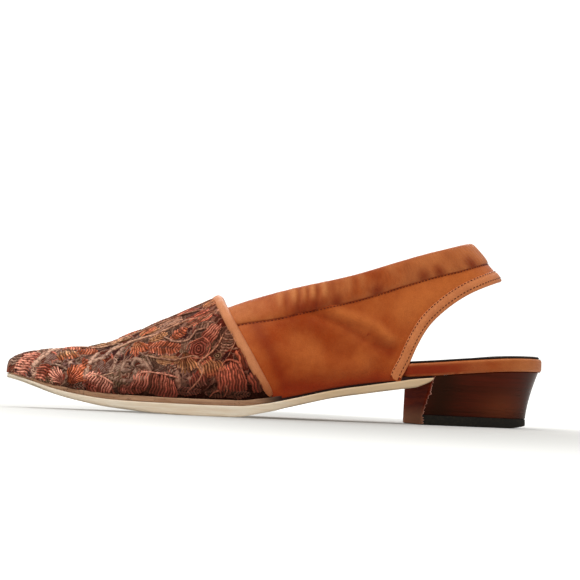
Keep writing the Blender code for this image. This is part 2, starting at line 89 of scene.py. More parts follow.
BALL_FLAT = (0.315, 0.385)
SEAT_ROUND = 0.87
SEAT_FULLNESS = 2.3
HEEL_FULLNESS = 2.6
HEEL_CURL = 1.6
BELLY = 0.7 * MM
THROAT_SIDE = 0.857
QUARTER_END = 0.697
STRAP_END = 0.912

PLAN = [
    # at, outer, inner
    (0.000, 0.11, 0.20),
    (0.015, 0.18, 0.28),
    (0.040, 0.27, 0.38),
    (0.090, 0.41, 0.53),
    (0.165, 0.61, 0.74),
    (0.260, 0.82, 0.92),
    (0.350, 0.97, 0.98),
    (0.435, 1.04, 0.92),
    (0.520, 0.98, 0.80),
    (0.595, 0.86, 0.71),
    (0.685, 0.755, 0.67),
    (0.760, 0.715, 0.69),
    (0.870, 0.712, 0.712),
    (1.000, 0.712, 0.712),
]

FEATHER = [
    # at, toe, heel
    (0.000, 1.00, 0.00),
    (0.020, 0.88, 0.00),
    (0.050, 0.64, 0.00),
    (0.080, 0.42, 0.00),
    (0.120, 0.23, 0.00),
    (0.180, 0.07, 0.00),
    (0.260, 0.01, 0.00),
    (0.330, 0.00, 0.00),
    (0.400, 0.00, 0.01),
    (0.445, 0.00, 0.085),
    (0.490, 0.00, 0.21),
    (0.570, 0.00, 0.45),
    (0.640, 0.00, 0.60),
    (0.700, 0.00, 0.69),
    (0.760, 0.00, 0.765),
    (0.830, 0.00, 0.86),
    (0.920, 0.00, 0.96),
    (1.000, 0.00, 1.00),
]

LAYERS = [
    # at, outsole, midsole, insole
    (0.000, 0.30, 0.30, 0.30),
    (0.050, 0.40, 0.45, 0.33),
    (0.120, 0.62, 0.80, 0.36),
    (0.200, 0.92, 1.00, 0.38),
    (0.300, 1.38, 1.00, 0.38),
    (0.385, 1.38, 1.00, 0.38),
    (0.440, 1.10, 1.00, 0.45),
    (0.520, 0.95, 1.00, 0.70),
    (0.620, 0.97, 1.00, 0.92),
    (0.690, 1.00, 0.70, 1.00),
    (0.722, 1.05, 0.45, 1.00),
    (0.760, 1.05, 0.36, 1.00),
    (1.000, 1.05, 0.36, 1.00),
]

WAIST = [
    # at, inset
    (0.00, 0.15),
    (0.40, 0.15),
    (0.50, 1.00),
    (1.00, 1.00),
]

LAST = [
    # at, ridge, square, lean
    (0.000, 0.050, 0.80, 0.00),
    (0.011, 0.085, 0.80, 0.00),
    (0.030, 0.145, 0.82, 0.00),
    (0.055, 0.200, 0.85, 0.00),
    (0.085, 0.250, 0.88, 0.00),
    (0.115, 0.287, 0.90, 0.00),
    (0.150, 0.325, 0.92, 0.00),
    (0.185, 0.392, 0.94, 0.00),
    (0.225, 0.480, 0.95, 0.00),
    (0.265, 0.570, 0.96, 0.00),
    (0.310, 0.670, 0.97, 0.00),
    (0.360, 0.784, 0.97, 0.00),
    (0.410, 0.930, 0.96, 0.00),
    (0.480, 1.150, 0.94, 0.00),
    (0.560, 1.420, 0.92, 0.03),
    (0.640, 1.700, 0.92, 0.12),
    (0.720, 1.850, 0.94, 0.32),
    (0.800, 1.900, 0.96, 0.62),
    (0.880, 1.900, 0.98, 0.82),
    (0.940, 1.900, 1.00, 0.95),
    (1.000, 1.900, 1.00, 1.00),
]

BACK_LINE = [
    # height, lean
    (0.00, 0.00),
    (0.31, 0.13),
    (0.72, 0.57),
    (1.00, 1.00),
    (1.40, 1.38),
    (1.80, 1.52),
]

VAMP_EDGE = [
    # at, height
    (0.3660, 1.10),
    (0.3690, 0.90),
    (0.3780, 0.75),
    (0.3930, 0.58),
    (0.4150, 0.37),
    (0.4360, 0.17),
    (0.4670, -0.10),
]

TOPLINE = [
    # at, height
    (0.3570, -0.06),
    (0.3830, 0.00),
    (0.4150, 0.08),
    (0.4860, 0.235),
    (0.5970, 0.445),
    (0.6925, 0.665),
    (0.7500, 0.790),
    (0.7930, 0.872),
    (0.8520, 0.990),
    (0.9250, 1.110),
]

BAND = [
    # at, height
    (0.380, 0.70),
    (0.480, 1.00),
    (1.000, 1.00),
]

REAR_EDGE = [
    # along, height
    (-0.020, -0.080),
    (0.000, 0.000),
    (0.068, 0.145),
    (0.127, 0.290),
    (0.232, 0.485),
    (0.400, 0.670),
    (0.622, 0.835),
    (0.855, 0.945),
    (1.000, 1.000),
    (1.350, 1.120),
]

WORN = [
    # at, wear
    (0.000, 0.0),
    (0.925, 0.0),
    (0.975, 1.0),
    (1.000, 1.0),
]


# Curves through the tables

def along(table, column):
    """A smooth curve through one column of a table, with no overshoot between its rows."""
    places = np.array([row[0] for row in table], float)
    values = np.array([row[column] for row in table], float)
    steps = np.diff(places)
    slopes = np.diff(values) / steps
    total = slopes[:-1] + slopes[1:]
    product = slopes[:-1] * slopes[1:]
    tangents = np.concatenate([slopes[:1], np.zeros(len(product)), slopes[-1:]])
    same_way = product > 0
    tangents[1:-1][same_way] = 2 * product[same_way] / total[same_way]

    def at(place):
        place = np.clip(place, places[0], places[-1])
        row = np.clip(np.searchsorted(places, place, side="right") - 1, 0, len(steps) - 1)
        t = (place - places[row]) / steps[row]
        bend = t * t * (3 - 2 * t)
        out = t * (1 - t) ** 2 * tangents[row]
        back = t * t * (t - 1) * tangents[row + 1]
        return values[row] * (1 - bend) + values[row + 1] * bend + (out + back) * steps[row]
    return at


plan_outer, plan_inner = along(PLAN, 1), along(PLAN, 2)
toe_share, heel_share = along(FEATHER, 1), along(FEATHER, 2)
outsole_share, midsole_share, insole_share = [along(LAYERS, column) for column in (1, 2, 3)]
waist_share = along(WAIST, 1)
ridge_share, square_share, lean_share = [along(LAST, column) for column in (1, 2, 3)]
back_line = along(BACK_LINE, 1)
band_share = along(BAND, 1)
worn_share = along(WORN, 1)

BREAST = (LENGTH - HEEL_LENGTH) / LENGTH
SOLE_END = BREAST - 2 * GAP / LENGTH
SOLE_STACK = OUTSOLE * float(outsole_share(BALL_FLAT[0])) + MIDSOLE + GAP
SEAT_LEVEL = SOLE_STACK + HEEL_RISE
STRAP_RISE = STRAP_HEIGHT - SEAT_LEVEL
LAST_INSET = UPPER_INSET + WALL + GAP + COVER
STEP = QUARTER_END + SEAT_STEP / LENGTH
TOE_ROUND = 0.012            # share of the length over which the sole's tip is rounded
CLOTH_TOP = WALL + GAP + COVER
TOUCH = 0.02 * MM            # pieces of the bottom that are glued together


def soft(value, low, high):
    """0 below low, 1 above high and a smooth step between."""
    t = np.clip((value - low) / (high - low), 0, 1)
    return t * t * (3 - 2 * t)


def between(low, high, part):
    return low + (high - low) * part


def most(*masks):
    """The strongest of several masks at each point; a row and a column make a grid."""
    return np.maximum.reduce(np.broadcast_arrays(*masks))


def step_lengths(points, axis):
    return np.linalg.norm(np.diff(points, axis=axis), axis=-1)


def summed(steps):
    """The length run at each point, from the steps between them."""
    return np.concatenate([[0], np.cumsum(steps)])


def x_of(share):
    return (share - 0.5) * LENGTH


def share_of(x):
    return x / LENGTH + 0.5


def feather(share):
    """Height of the line where the upper meets the sole."""
    return SOLE_STACK + TOE_SPRING * toe_share(share) + HEEL_RISE * heel_share(share)


def half_widths(share, inset):
    """Outer and inner half width of the plan outline, drawn in by the inset."""
    reach = 1 - inset / LENGTH
    around = np.clip((share - SEAT_ROUND) / (reach - SEAT_ROUND), 0, 1)
    rounding = np.maximum(0.0, 1 - around ** SEAT_FULLNESS) ** (1 / SEAT_FULLNESS)
    seat = SEAT_WIDTH / BALL_WIDTH / float(plan_outer(1.0))
    half = BALL_WIDTH / 2 * (1 + (seat - 1) * heel_share(share))
    return [np.maximum(half * plan(share) - inset, 0) * rounding
            for plan in (plan_outer, plan_inner)]


# The last, as two charts: one over the forefoot, one along the sides and round the back

TOE_CAP = 0.011              # share of the length where the last's nose starts
NOSE = 0.9 * MM              # how far the nose swells ahead of that


def over_last(share, part):
    """Part runs from -1 at the outer foot, over the ridge, to 1 at the inner foot. A share below
    TOE_CAP rounds the nose off towards the middle of its foot."""
    share, part = np.broadcast_arrays(share, part)
    round_off = np.clip((TOE_CAP - share) / TOE_CAP, 0, 1)
    share = np.maximum(share, TOE_CAP)
    outer, inner = half_widths(share, LAST_INSET)
    part = np.clip(part, -1, 1)
    turn = math.pi / 2 * (1 - np.abs(part))
    square = square_share(share)
    across = np.maximum(np.cos(turn), 0) ** square
    up = THROAT_HEIGHT * ridge_share(share) * np.maximum(np.sin(turn), 0) ** square
    angle = math.pi / 2 * round_off
    y = np.where(part < 0, -outer, inner) * across
    middle = (inner - outer) / 2
    y = middle + (y - middle) * np.cos(angle)
    return np.stack([x_of(share) - NOSE * np.sin(angle), y,
                     feather(share) + up * np.cos(angle)], -1)


ROUND = 1 - LAST_INSET / LENGTH - SEAT_ROUND
BACK_TURN = SEAT_ROUND + ROUND * math.pi / 2


def share_at(s):
    """Share of the length at s, which runs on evenly round the back of the seat."""
    place = BACK_TURN - np.abs(s)
    turned = np.clip((place - SEAT_ROUND) / ROUND, 0, math.pi / 2)
    return np.where(place < SEAT_ROUND, place, SEAT_ROUND + ROUND * np.sin(turned))


def beside_last(s, z):
    """s is 0 at the middle of the back and grows forwards, as a share of the length: it is
    negative on the outer side and positive on the inner side. z is the height."""
    s, z = np.broadcast_arrays(s, z)
    share = share_at(s)
    outer, inner = half_widths(share, LAST_INSET)
    up = z - feather(share)
    square = square_share(share)
    turn = np.arcsin(np.clip(up / (THROAT_HEIGHT * ridge_share(share)), 0, 1) ** (1 / square))
    lean = STRAP_LEAN * lean_share(share) * back_line(up / STRAP_RISE)
    y = np.where(s < 0, -outer, inner) * np.cos(turn) ** square
    return np.stack([x_of(share) - lean, y, z + 0 * share], -1)


CHARTS = {
    # points on the last, and the steps that its slopes are measured with
    "over": (over_last, 2e-4, 2e-3),
    "beside": (beside_last, 2e-4, 2e-5),
}


def slopes_on(chart, p, q):
    at, step_p, step_q = CHARTS[chart]
    along_p = (at(p + step_p, q) - at(p - step_p, q)) / (2 * step_p)
    along_q = (at(p, q + step_q) - at(p, q - step_q)) / (2 * step_q)
    return along_p, along_q


def unit(vectors):
    return vectors / np.maximum(np.linalg.norm(vectors, axis=-1, keepdims=True), 1e-12)


def raised(chart, p, q, height):
    """Points at a height over the last, measured straight out from it."""
    outward = unit(np.cross(*slopes_on(chart, p, q)))
    return CHARTS[chart][0](p, q) + outward * np.asarray(height)[..., None]


def beside_path(chart, p, q, offset, height):
    """Points on the left of a path on a chart, seen from outside and along the path: offset and
    height are rows of places for each point of the path."""
    ahead = unit(np.gradient(CHARTS[chart][0](p, q), axis=0))
    along_p, along_q = slopes_on(chart, p, q)
    left = unit(np.cross(unit(np.cross(along_p, along_q)), ahead))
    pp, qq = (along_p ** 2).sum(-1), (along_q ** 2).sum(-1)
    pq = (along_p * along_q).sum(-1)
    lp, lq = (along_p * left).sum(-1), (along_q * left).sum(-1)
    under = np.maximum(pp * qq - pq ** 2, 1e-18)
    to_p, to_q = (lp * qq - lq * pq) / under, (lq * pp - lp * pq) / under
    return raised(chart, p[:, None] + to_p[:, None] * offset,
                  q[:, None] + to_q[:, None] * offset, height)


# The lines of the upper, seen from the side

LINE_STEPS = 480


def drawn(table, place, height):
    """A line as x and z, smooth through its table; place and height turn its shares to metres."""
    numbered = [(i,) + row for i, row in enumerate(table)]
    t = np.linspace(0, len(table) - 1, LINE_STEPS)
    across, up = along(numbered, 1)(t), along(numbered, 2)(t)
    return place(across), height(across, up)


VAMP_X, VAMP_Z = drawn(VAMP_EDGE, x_of,
                       lambda share, part: between(feather(share), THROAT_HEIGHT, part))
TOP_X, TOP_Z = drawn(TOPLINE, x_of,
                     lambda _, part: between(THROAT_HEIGHT * THROAT_SIDE, STRAP_HEIGHT, part))
REAR_X, REAR_Z = drawn(REAR_EDGE, lambda part: x_of(between(QUARTER_END, STRAP_END, part)),
                       lambda _, up: between(feather(QUARTER_END), STRAP_HEIGHT - STRAP_WIDTH, up))


def vamp_x(z):
    return np.interp(-z, -VAMP_Z, VAMP_X)


def top_z(x):
    return np.interp(x, TOP_X, TOP_Z)


def rear_z(x):
    return np.interp(x, REAR_X, REAR_Z)


def band_z(x):
    """Height of the band's seam below the topline."""
    slope = np.interp(x, TOP_X, np.gradient(TOP_Z, TOP_X))
    return top_z(x) - BAND_HEIGHT * band_share(share_of(x)) * np.sqrt(1 + slope ** 2)


def height_where(line, s):
    """Height at which the last, at s, meets a line drawn from the side."""
    z = line(x_of(share_at(s)))
    for _ in range(40):
        z = 0.4 * z + 0.6 * line(beside_last(s, z)[..., 0])
    return z


def s_where(x, z):
    """How far forward of the back, as a share, the last has this x at this height."""
    low, high = np.zeros_like(x), np.full_like(x, 0.8)
    for _ in range(40):
        middle = (low + high) / 2
        behind = beside_last(middle, z)[..., 0] > x
        low, high = np.where(behind, middle, low), np.where(behind, high, middle)
    return (low + high) / 2


def vamp_share(part, shift=0.0):
    """Share at which the vamp's edge, moved by shift, crosses the last at each part of the way."""
    share = np.full_like(part, share_of(VAMP_X[0]))
    for _ in range(60):
        z = over_last(share, part)[..., 2]
        share = 0.5 * share + 0.5 * share_of(vamp_x(z) + shift)
    return share


# Workbench: how each mesh is made

def nothing_selected():
    if bpy.context.object and bpy.context.object.mode != "OBJECT":
        bpy.ops.object.mode_set(mode="OBJECT")
    bpy.ops.object.select_all(action="DESELECT")


def only(piece):
    nothing_selected()
    piece.select_set(True)
    bpy.context.view_layer.objects.active = piece


def closed_up(piece):
    """Welds the grid's meeting edges and turns all faces out."""
    only(piece)
    bpy.ops.object.mode_set(mode="EDIT")
    bpy.ops.mesh.select_all(action="SELECT")
    bpy.ops.mesh.remove_doubles(threshold=1e-6)
    bpy.ops.mesh.dissolve_degenerate(threshold=1e-7)
    bpy.ops.mesh.select_all(action="SELECT")
    bpy.ops.mesh.normals_make_consistent(inside=False)
    bpy.ops.object.mode_set(mode="OBJECT")


def laid(name, points, closed=False, lengths=None, **marks):
    """A grid primitive with a face for each step of points, laid where they say. Its UVs are in
    millimetres, and marks are numbers or colours kept for each point."""
    columns, rows = points.shape[:2]
    nothing_selected()
    bpy.ops.mesh.primitive_grid_add(x_subdivisions=columns - 1, y_subdivisions=rows - 1, size=2)
    piece = bpy.context.object
    mesh = piece.data
    piece.name = mesh.name = name
    flat = np.empty(len(mesh.vertices) * 3)
    mesh.vertices.foreach_get("co", flat)
    flat = flat.reshape(-1, 3)
    i = np.rint((flat[:, 0] + 1) / 2 * (columns - 1)).astype(int)
    j = np.rint((flat[:, 1] + 1) / 2 * (rows - 1)).astype(int)
    mesh.vertices.foreach_set("co", points[i, j].ravel())
    if lengths is None:
        lengths = np.broadcast_arrays(summed(step_lengths(points, 0).mean(1))[:, None],
                                      summed(step_lengths(points, 1).mean(0))[None, :])
    corners = np.empty(len(mesh.loops), int)
    mesh.loops.foreach_get("vertex_index", corners)
    uv = np.stack([length[i, j] for length in lengths], -1)[corners] / MM
    mesh.uv_layers[0].name = "Laid"
    mesh.uv_layers[0].data.foreach_set("uv", uv.ravel())
    for label, values in marks.items():
        values = np.asarray(values, float)
        kind, field = ("FLOAT_COLOR", "color") if values.ndim == 3 else ("FLOAT", "value")
        mesh.attributes.new(label, kind, "POINT").data.foreach_set(field, values[i, j].ravel())
    mesh.update()
    if closed:
        closed_up(piece)
    only(piece)
    bpy.ops.object.shade_smooth()
    return piece


def thickened(piece, thickness):
    """Gives a sheet its wall, inwards."""
    only(piece)
    wall = piece.modifiers.new("Solidify", "SOLIDIFY")
    wall.thickness = thickness
    wall.offset = -1.0
    wall.use_quality_normals = True
    bpy.ops.object.modifier_apply(modifier=wall.name)
    return piece


def settled(piece):
    """Leaves the piece's place in its mesh."""
    only(piece)
    bpy.ops.object.transform_apply(location=True, rotation=True, scale=True)
    return piece


def joined(pieces, name):
    nothing_selected()
    for piece in pieces:
        piece.select_set(True)
    bpy.context.view_layer.objects.active = pieces[0]
    bpy.ops.object.join()
    whole = bpy.context.view_layer.objects.active
    whole.name = whole.data.name = name
    return settled(whole)


def copied(pattern, places):
    """A copy of the pattern, with its own mesh, at each place."""
    copies = []
    for place in places:
        copy = pattern.copy()
        copy.data = pattern.data.copy()
        copy.matrix_world = place
        bpy.context.scene.collection.objects.link(copy)
        copies.append(copy)
    bpy.data.objects.remove(pattern)
    return copies


def kept(piece, material, node):
    """The piece, in its finish, rides on the shoe and stands for this solid."""
    piece.data.materials.append(material)
    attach(piece, "root")
    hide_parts(node)


# Node helpers: an input is a value or another node's output

def add(tree, kind, inputs=None, **settings):
    made = tree.nodes.new("ShaderNode" + kind)
    for name, value in settings.items():
        setattr(made, name, value)
    for name, value in (inputs or {}).items():
        if isinstance(value, bpy.types.NodeSocket):
            tree.links.new(value, made.inputs[name])
        else:
            made.inputs[name].default_value = value
    return made


def calc(tree, operation, a, b=0.0, clamp=False):
    return add(tree, "Math", {0: a, 1: b}, operation=operation, use_clamp=clamp).outputs[0]


def times(tree, a, b):
    return calc(tree, "MULTIPLY", a, b)


def plus(tree, a, b):
    return calc(tree, "ADD", a, b)


def ripple(tree, value):
    """Rounded ridges that meet in sharp valleys, one for each half turn of the value."""
    return calc(tree, "ABSOLUTE", calc(tree, "SINE", value))


def parts_of(tree, vector):
    return add(tree, "SeparateXYZ", {0: vector}).outputs


def spread(tree, value, low, high, to_low=0.0, to_high=1.0):
    """The value, taken from low..high to the other range and kept inside it."""
    return add(tree, "MapRange", {0: value, 1: low, 2: high, 3: to_low, 4: to_high},
               interpolation_type="SMOOTHSTEP").outputs[0]


def rgb(red, green, blue):
    """A colour as it shows on screen, 0 to 255, in the linear light that shaders take."""
    def linear(value):
        value /= 255
        return value / 12.92 if value <= 0.04045 else ((value + 0.055) / 1.055) ** 2.4
    return (linear(red), linear(green), linear(blue), 1.0)


def tint(tree, factor, a, b, blend="MIX"):
    """Mixes two colours. Three numbers are a colour as it shows on screen."""
    a, b = [rgb(*side) if isinstance(side, tuple) and len(side) == 3 else side for side in (a, b)]
    return add(tree, "Mix", {0: factor, 6: a, 7: b}, data_type="RGBA", blend_type=blend).outputs[2]


def painted(tree, colour, *coats):
    """Lays coats over a colour, each a mask and its tone."""
    for mask, tone in coats:
        colour = tint(tree, mask, colour, tone)
    return colour


def noise(tree, place, scale, detail=3.0, roughness=0.55, stretch=None):
    if stretch:
        place = add(tree, "Mapping", {"Vector": place, "Scale": stretch}).outputs[0]
    return add(tree, "TexNoise", {"Vector": place, "Scale": scale, "Detail": detail,
                                  "Roughness": roughness}).outputs["Fac"]


def mark(tree, name, kind="Fac"):
    return add(tree, "Attribute", attribute_name=name, attribute_type="GEOMETRY").outputs[kind]


def group(name, inputs, outputs, build):
    """A shader node group of numbers; an input without a value is a place."""
    tree = bpy.data.node_groups.new(name, "ShaderNodeTree")
    for label, value in inputs.items():
        kind = "NodeSocketVector" if value is None else "NodeSocketFloat"
        socket = tree.interface.new_socket(label, in_out="INPUT", socket_type=kind)
        if value is not None:
            socket.default_value = value
    for label in outputs:
        tree.interface.new_socket(label, in_out="OUTPUT", socket_type="NodeSocketFloat")
    results = build(tree, tree.nodes.new("NodeGroupInput").outputs)
    out = tree.nodes.new("NodeGroupOutput")
    for label in outputs:
        tree.links.new(results[label], out.inputs[label])
    return tree


def use(tree, effect, **inputs):
    """A group placed in a material, with its own values."""
    made = tree.nodes.new("ShaderNodeGroup")
    made.node_tree = effect
    for name, value in inputs.items():
        if isinstance(value, bpy.types.NodeSocket):
            tree.links.new(value, made.inputs[name])
        else:
            made.inputs[name].default_value = value
    return made.outputs


# Effects that several finishes share

def build_grain(tree, given):
    """Leather grain: small pebbles cut by fine lines, with a slow mottle of the dye."""
    place = given["Place"]
    cells = add(tree, "TexVoronoi", {"Vector": place, "Scale": given["Scale"]},
                feature="DISTANCE_TO_EDGE").outputs["Distance"]
    pebbles = spread(tree, cells, 0.0, 0.35)
    pores = noise(tree, place, times(tree, given["Scale"], 2.3), 2.0, 0.6)
    slow = noise(tree, place, times(tree, given["Scale"], 0.035), 4.0, 0.6)
    height = plus(tree, times(tree, pebbles, 0.6), times(tree, pores, 0.4))
    return {"Height": height, "Mottle": slow}


def build_threads(tree, given):
    """Lines of laid thread across the piece's own UVs, each a twisted ply."""
    uv = add(tree, "UVMap", uv_map="Laid").outputs[0]
    parts = parts_of(tree, uv)
    lines = calc(tree, "DIVIDE", parts["X"], given["Pitch"])
    lines = plus(tree, lines, times(tree, noise(tree, uv, 1.6, 2.0), 0.9))
    ridge = ripple(tree, times(tree, lines, math.pi))
    ply = ripple(tree, plus(tree, times(tree, parts["Y"], given["Twist"]),
                            times(tree, lines, 1.7)))
    height = plus(tree, times(tree, ridge, 0.75), times(tree, ply, 0.25))
    return {"Height": height, "Fibre": noise(tree, uv, 9.0, 3.0, 0.7)}


def build_cells(tree, given):
    """Patches of darning that abut, each hatched its own way, with a couched line round it."""
    uv = add(tree, "UVMap", uv_map="Laid").outputs[0]
    drift = add(tree, "TexNoise", {"Vector": uv, "Scale": 0.35, "Detail": 2.0}).outputs["Color"]
    moved = add(tree, "VectorMath", {0: drift, 1: (5.0, 5.0, 0.0)}, operation="MULTIPLY").outputs[0]
    uv = add(tree, "VectorMath", {0: uv, 1: moved}, operation="ADD").outputs[0]
    cell = add(tree, "TexVoronoi", {"Vector": uv, "Scale": given["Scale"], "Randomness": 1.0})
    edge = add(tree, "TexVoronoi", {"Vector": uv, "Scale": given["Scale"]},
               feature="DISTANCE_TO_EDGE").outputs["Distance"]
    pick = parts_of(tree, cell.outputs["Color"])
    turned = add(tree, "VectorRotate", {"Vector": uv, "Angle": times(tree, pick["X"], 6.3)},
                 rotation_type="Z_AXIS").outputs[0]
    hatch = ripple(tree, times(tree, parts_of(tree, turned)["X"], given["Hatch"]))
    inside = spread(tree, edge, 0.03, 0.12)
    cord = calc(tree, "SUBTRACT", 1.0, spread(tree, edge, 0.02, 0.10))
    height = plus(tree, times(tree, times(tree, hatch, inside), 0.6), times(tree, cord, 1.2))
    return {"Height": height, "Hatch": hatch, "Cord": cord, "Pick": pick["Y"]}


def build_specks(tree, given):
    """Scattered dirt: dark specks, more of them where Amount is high."""
    fine = noise(tree, given["Place"], given["Scale"], 5.0, 0.75)
    broad = noise(tree, given["Place"], times(tree, given["Scale"], 0.12), 3.0, 0.6)
    level = calc(tree, "SUBTRACT", 0.78, times(tree, given["Amount"], 0.3))
    mixed = plus(tree, times(tree, fine, 0.7), times(tree, broad, 0.3))
    return {"Mask": calc(tree, "MULTIPLY", calc(tree, "SUBTRACT", mixed, level), 9.0, clamp=True)}


GRAIN = group("leather_grain", {"Place": None, "Scale": 1500.0}, ("Height", "Mottle"), build_grain)
THREADS = group("laid_threads", {"Pitch": 0.3, "Twist": 5.0}, ("Height", "Fibre"), build_threads)
CELLS = group("darned_cells", {"Scale": 0.2, "Hatch": 3.4}, ("Height", "Hatch", "Cord", "Pick"),
              build_cells)
SPECKS = group("specks_of_dirt", {"Place": None, "Scale": 900.0, "Amount": 0.5}, ("Mask",),
               build_specks)

WARM = (1.0, 0.55, 0.28, 1.0)    # what dark dyed leather throws back


def finish(name, build, shine, warm=True, **constants):
    """A material: build wires what changes over the surface, and constants are set on the
    shader's own sockets."""
    material = bpy.data.materials.new(name)
    material.use_nodes = True
    tree = material.node_tree
    shader = tree.nodes["Principled BSDF"]
    wired = build(tree, add(tree, "TexCoord").outputs["Object"])
    if "Bump" in wired:
        height, strength, distance = wired.pop("Bump")
        bump = add(tree, "Bump", {"Height": height, "Strength": strength, "Distance": distance})
        wired["Normal"] = bump.outputs[0]
    for label, value in wired.items():
        tree.links.new(value, shader.inputs[label])
    constants["Specular_IOR_Level"] = shine
    if warm:
        constants["Specular_Tint"] = WARM
    for label, value in constants.items():
        shader.inputs[label.replace("_", " ")].default_value = value
    return material


def surface(tree, colour, wear, rough, bump, span=(0.2, 0.8)):
    """A look: its colour, a roughness that follows the wear, and a bump, given as its height,
    strength and depth in metres."""
    return {"Base Color": colour, "Roughness": spread(tree, wear, *span, *rough), "Bump": bump}


def leather_look(light, middle, dark, gloss=(0.34, 0.5)):
    """Dyed leather: three tones of one dye, mottled; its pale and dark marks are partly stains and
    wear, partly painted highlight and shade.
    """
    def build(tree, place):
        grain = use(tree, GRAIN, Place=place, Scale=1500.0)
        streak = noise(tree, place, 180.0, 4.0, 0.65)
        colour = painted(tree, middle,
                         (spread(tree, grain["Mottle"], 0.25, 0.8, 0.0, 0.8), light),
                         (mark(tree, "pale"), light),
                         (mark(tree, "dark"), dark),
                         (spread(tree, streak, 0.35, 0.8, 0.0, 0.22), dark),
                         (spread(tree, grain["Height"], 0.15, 0.5, 0.16, 0.0), dark))
        return surface(tree, colour, streak, gloss, (grain["Height"], 0.5, 0.0002))
    return build


def lining_look(tree, place):
    grain = use(tree, GRAIN, Place=place, Scale=900.0)
    rub = noise(tree, place, 60.0, 4.0, 0.6)
    colour = painted(tree, (168, 118, 78),
                     (spread(tree, grain["Mottle"], 0.3, 0.7), (196, 150, 108)),
                     (spread(tree, rub, 0.5, 0.8, 0.0, 0.4), (120, 75, 42)))
    return surface(tree, colour, rub, (0.45, 0.65), (grain["Height"], 0.35, 0.00012))


def ground_look(tree, place):
    """Plum, khaki and rust darning, outlined in taupe, redder towards the piping, with painted shade
    in the gaps between the hatched threads and darker along the sole.
    """
    cells = use(tree, CELLS, Scale=0.2, Hatch=3.4)
    worn = noise(tree, place, 130.0, 4.0, 0.6)
    gaps = times(tree, spread(tree, cells["Hatch"], 0.0, 0.6, 0.75, 0.0),
                 calc(tree, "SUBTRACT", 1.0, cells["Cord"]))
    colour = painted(tree, (80, 44, 43),
                     (spread(tree, cells["Pick"], 0.1, 0.3), (110, 80, 64)),
                     (spread(tree, cells["Pick"], 0.45, 0.5), (118, 52, 36)),
                     (spread(tree, cells["Pick"], 0.66, 0.7), (130, 98, 84)),
                     (spread(tree, cells["Pick"], 0.84, 0.87), (146, 78, 60)),
                     (spread(tree, worn, 0.35, 0.75, 0.0, 0.7), (78, 36, 31)),
                     # painted shade in the gaps between the hatched threads
                     (gaps, (30, 10, 8)),
                     (times(tree, cells["Cord"], 0.75), (172, 128, 106)))
    colour = tint(tree, times(tree, mark(tree, "red"), 0.6), colour, (206, 130, 110), "MULTIPLY")
    # darker along the sole: partly darker threads, partly painted shade where the cloth turns down
    colour = tint(tree, mark(tree, "dark"), colour, (30, 6, 4))
    return surface(tree, colour, worn, (0.7, 0.85), (cells["Height"], 0.9, 0.0007), (0, 1))


def thread_look(tree, place):
    """Embroidery thread in the colour of each motif, which carries its painted light and shade,
    browned with wear, with painted shade in the grooves between the plies.
    """
    lay = use(tree, THREADS, Pitch=0.34, Twist=5.0)
    worn = noise(tree, place, 640.0, 3.0, 0.6)
    colour = painted(tree, mark(tree, "thread", "Color"),
                     (spread(tree, worn, 0.42, 0.66, 0.0, 0.8), (92, 40, 29)),
                     # painted shade in the grooves between the plies
                     (spread(tree, lay["Height"], 0.1, 0.8, 0.4, 0.0), (36, 10, 8)),
                     (spread(tree, lay["Fibre"], 0.52, 0.8, 0.0, 0.25), (238, 190, 156)))
    return surface(tree, colour, lay["Fibre"], (0.42, 0.62), (lay["Height"], 0.7, 0.00018))


def sock_look(tree, place):
    grain = use(tree, GRAIN, Place=place, Scale=700.0)
    rub = noise(tree, place, 40.0, 5.0, 0.65)
    colour = tint(tree, spread(tree, rub, 0.35, 0.75), (30, 22, 18), (58, 44, 36))
    return surface(tree, colour, rub, (0.5, 0.72), (grain["Height"], 0.4, 0.00015))


def sole_look(tree, place):
    """Undyed sole leather: cream, fibrous along its edge, scuffed grey underneath."""
    fibre = noise(tree, place, 55.0, 6.0, 0.7, (1.0, 1.0, 14.0))
    specks = use(tree, SPECKS, Place=place, Scale=1100.0, Amount=0.42)["Mask"]
    scuff = spread(tree, noise(tree, place, 45.0, 6.0, 0.75, (0.35, 1.0, 1.0)), 0.4, 0.7)
    colour = painted(tree, (236, 212, 182),
                     (spread(tree, fibre, 0.3, 0.7), (248, 234, 212)),
                     (mark(tree, "dark"), (214, 176, 128)),
                     (times(tree, specks, 0.5), (120, 92, 60)),
                     (times(tree, mark(tree, "under"), scuff), (132, 112, 88)))
    return surface(tree, colour, fibre, (0.55, 0.75), (fibre, 0.35, 0.0002))


def rand_look(tree, place):
    """The edge between sole and upper: dirty tan at the forepart, and dark under the arch, painted
    shade where the quarter is drawn over it.
    """
    fibre = noise(tree, place, 70.0, 6.0, 0.7, (1.0, 1.0, 10.0))
    specks = use(tree, SPECKS, Place=place, Scale=700.0, Amount=0.75)["Mask"]
    colour = painted(tree, (156, 112, 82),
                     (spread(tree, fibre, 0.3, 0.7), (196, 152, 118)),
                     (times(tree, specks, 0.85), (62, 34, 22)),
                     (mark(tree, "dark"), (38, 12, 8)))
    return surface(tree, colour, fibre, (0.6, 0.8), (fibre, 0.4, 0.0003))


def heel_look(tree, place):
    """Stacked leather, stained mahogany and polished: thin layers, with the stain worn off."""
    streak = noise(tree, place, 26.0, 5.0, 0.65, (0.5, 0.5, 9.0))
    line = ripple(tree, times(tree, parts_of(tree, place)["Z"], 1250.0))
    colour = painted(tree, (48, 7, 3),
                     (spread(tree, streak, 0.3, 0.72), (86, 20, 9)),
                     (spread(tree, line, 0.0, 0.25, 0.2, 0.0), (24, 6, 4)),
                     (mark(tree, "pale"), (124, 58, 30)),
                     (mark(tree, "dark"), (34, 6, 2)))
    height = plus(tree, times(tree, streak, 0.6), times(tree, line, 0.2))
    return surface(tree, colour, streak, (0.22, 0.38), (height, 0.25, 0.0002))


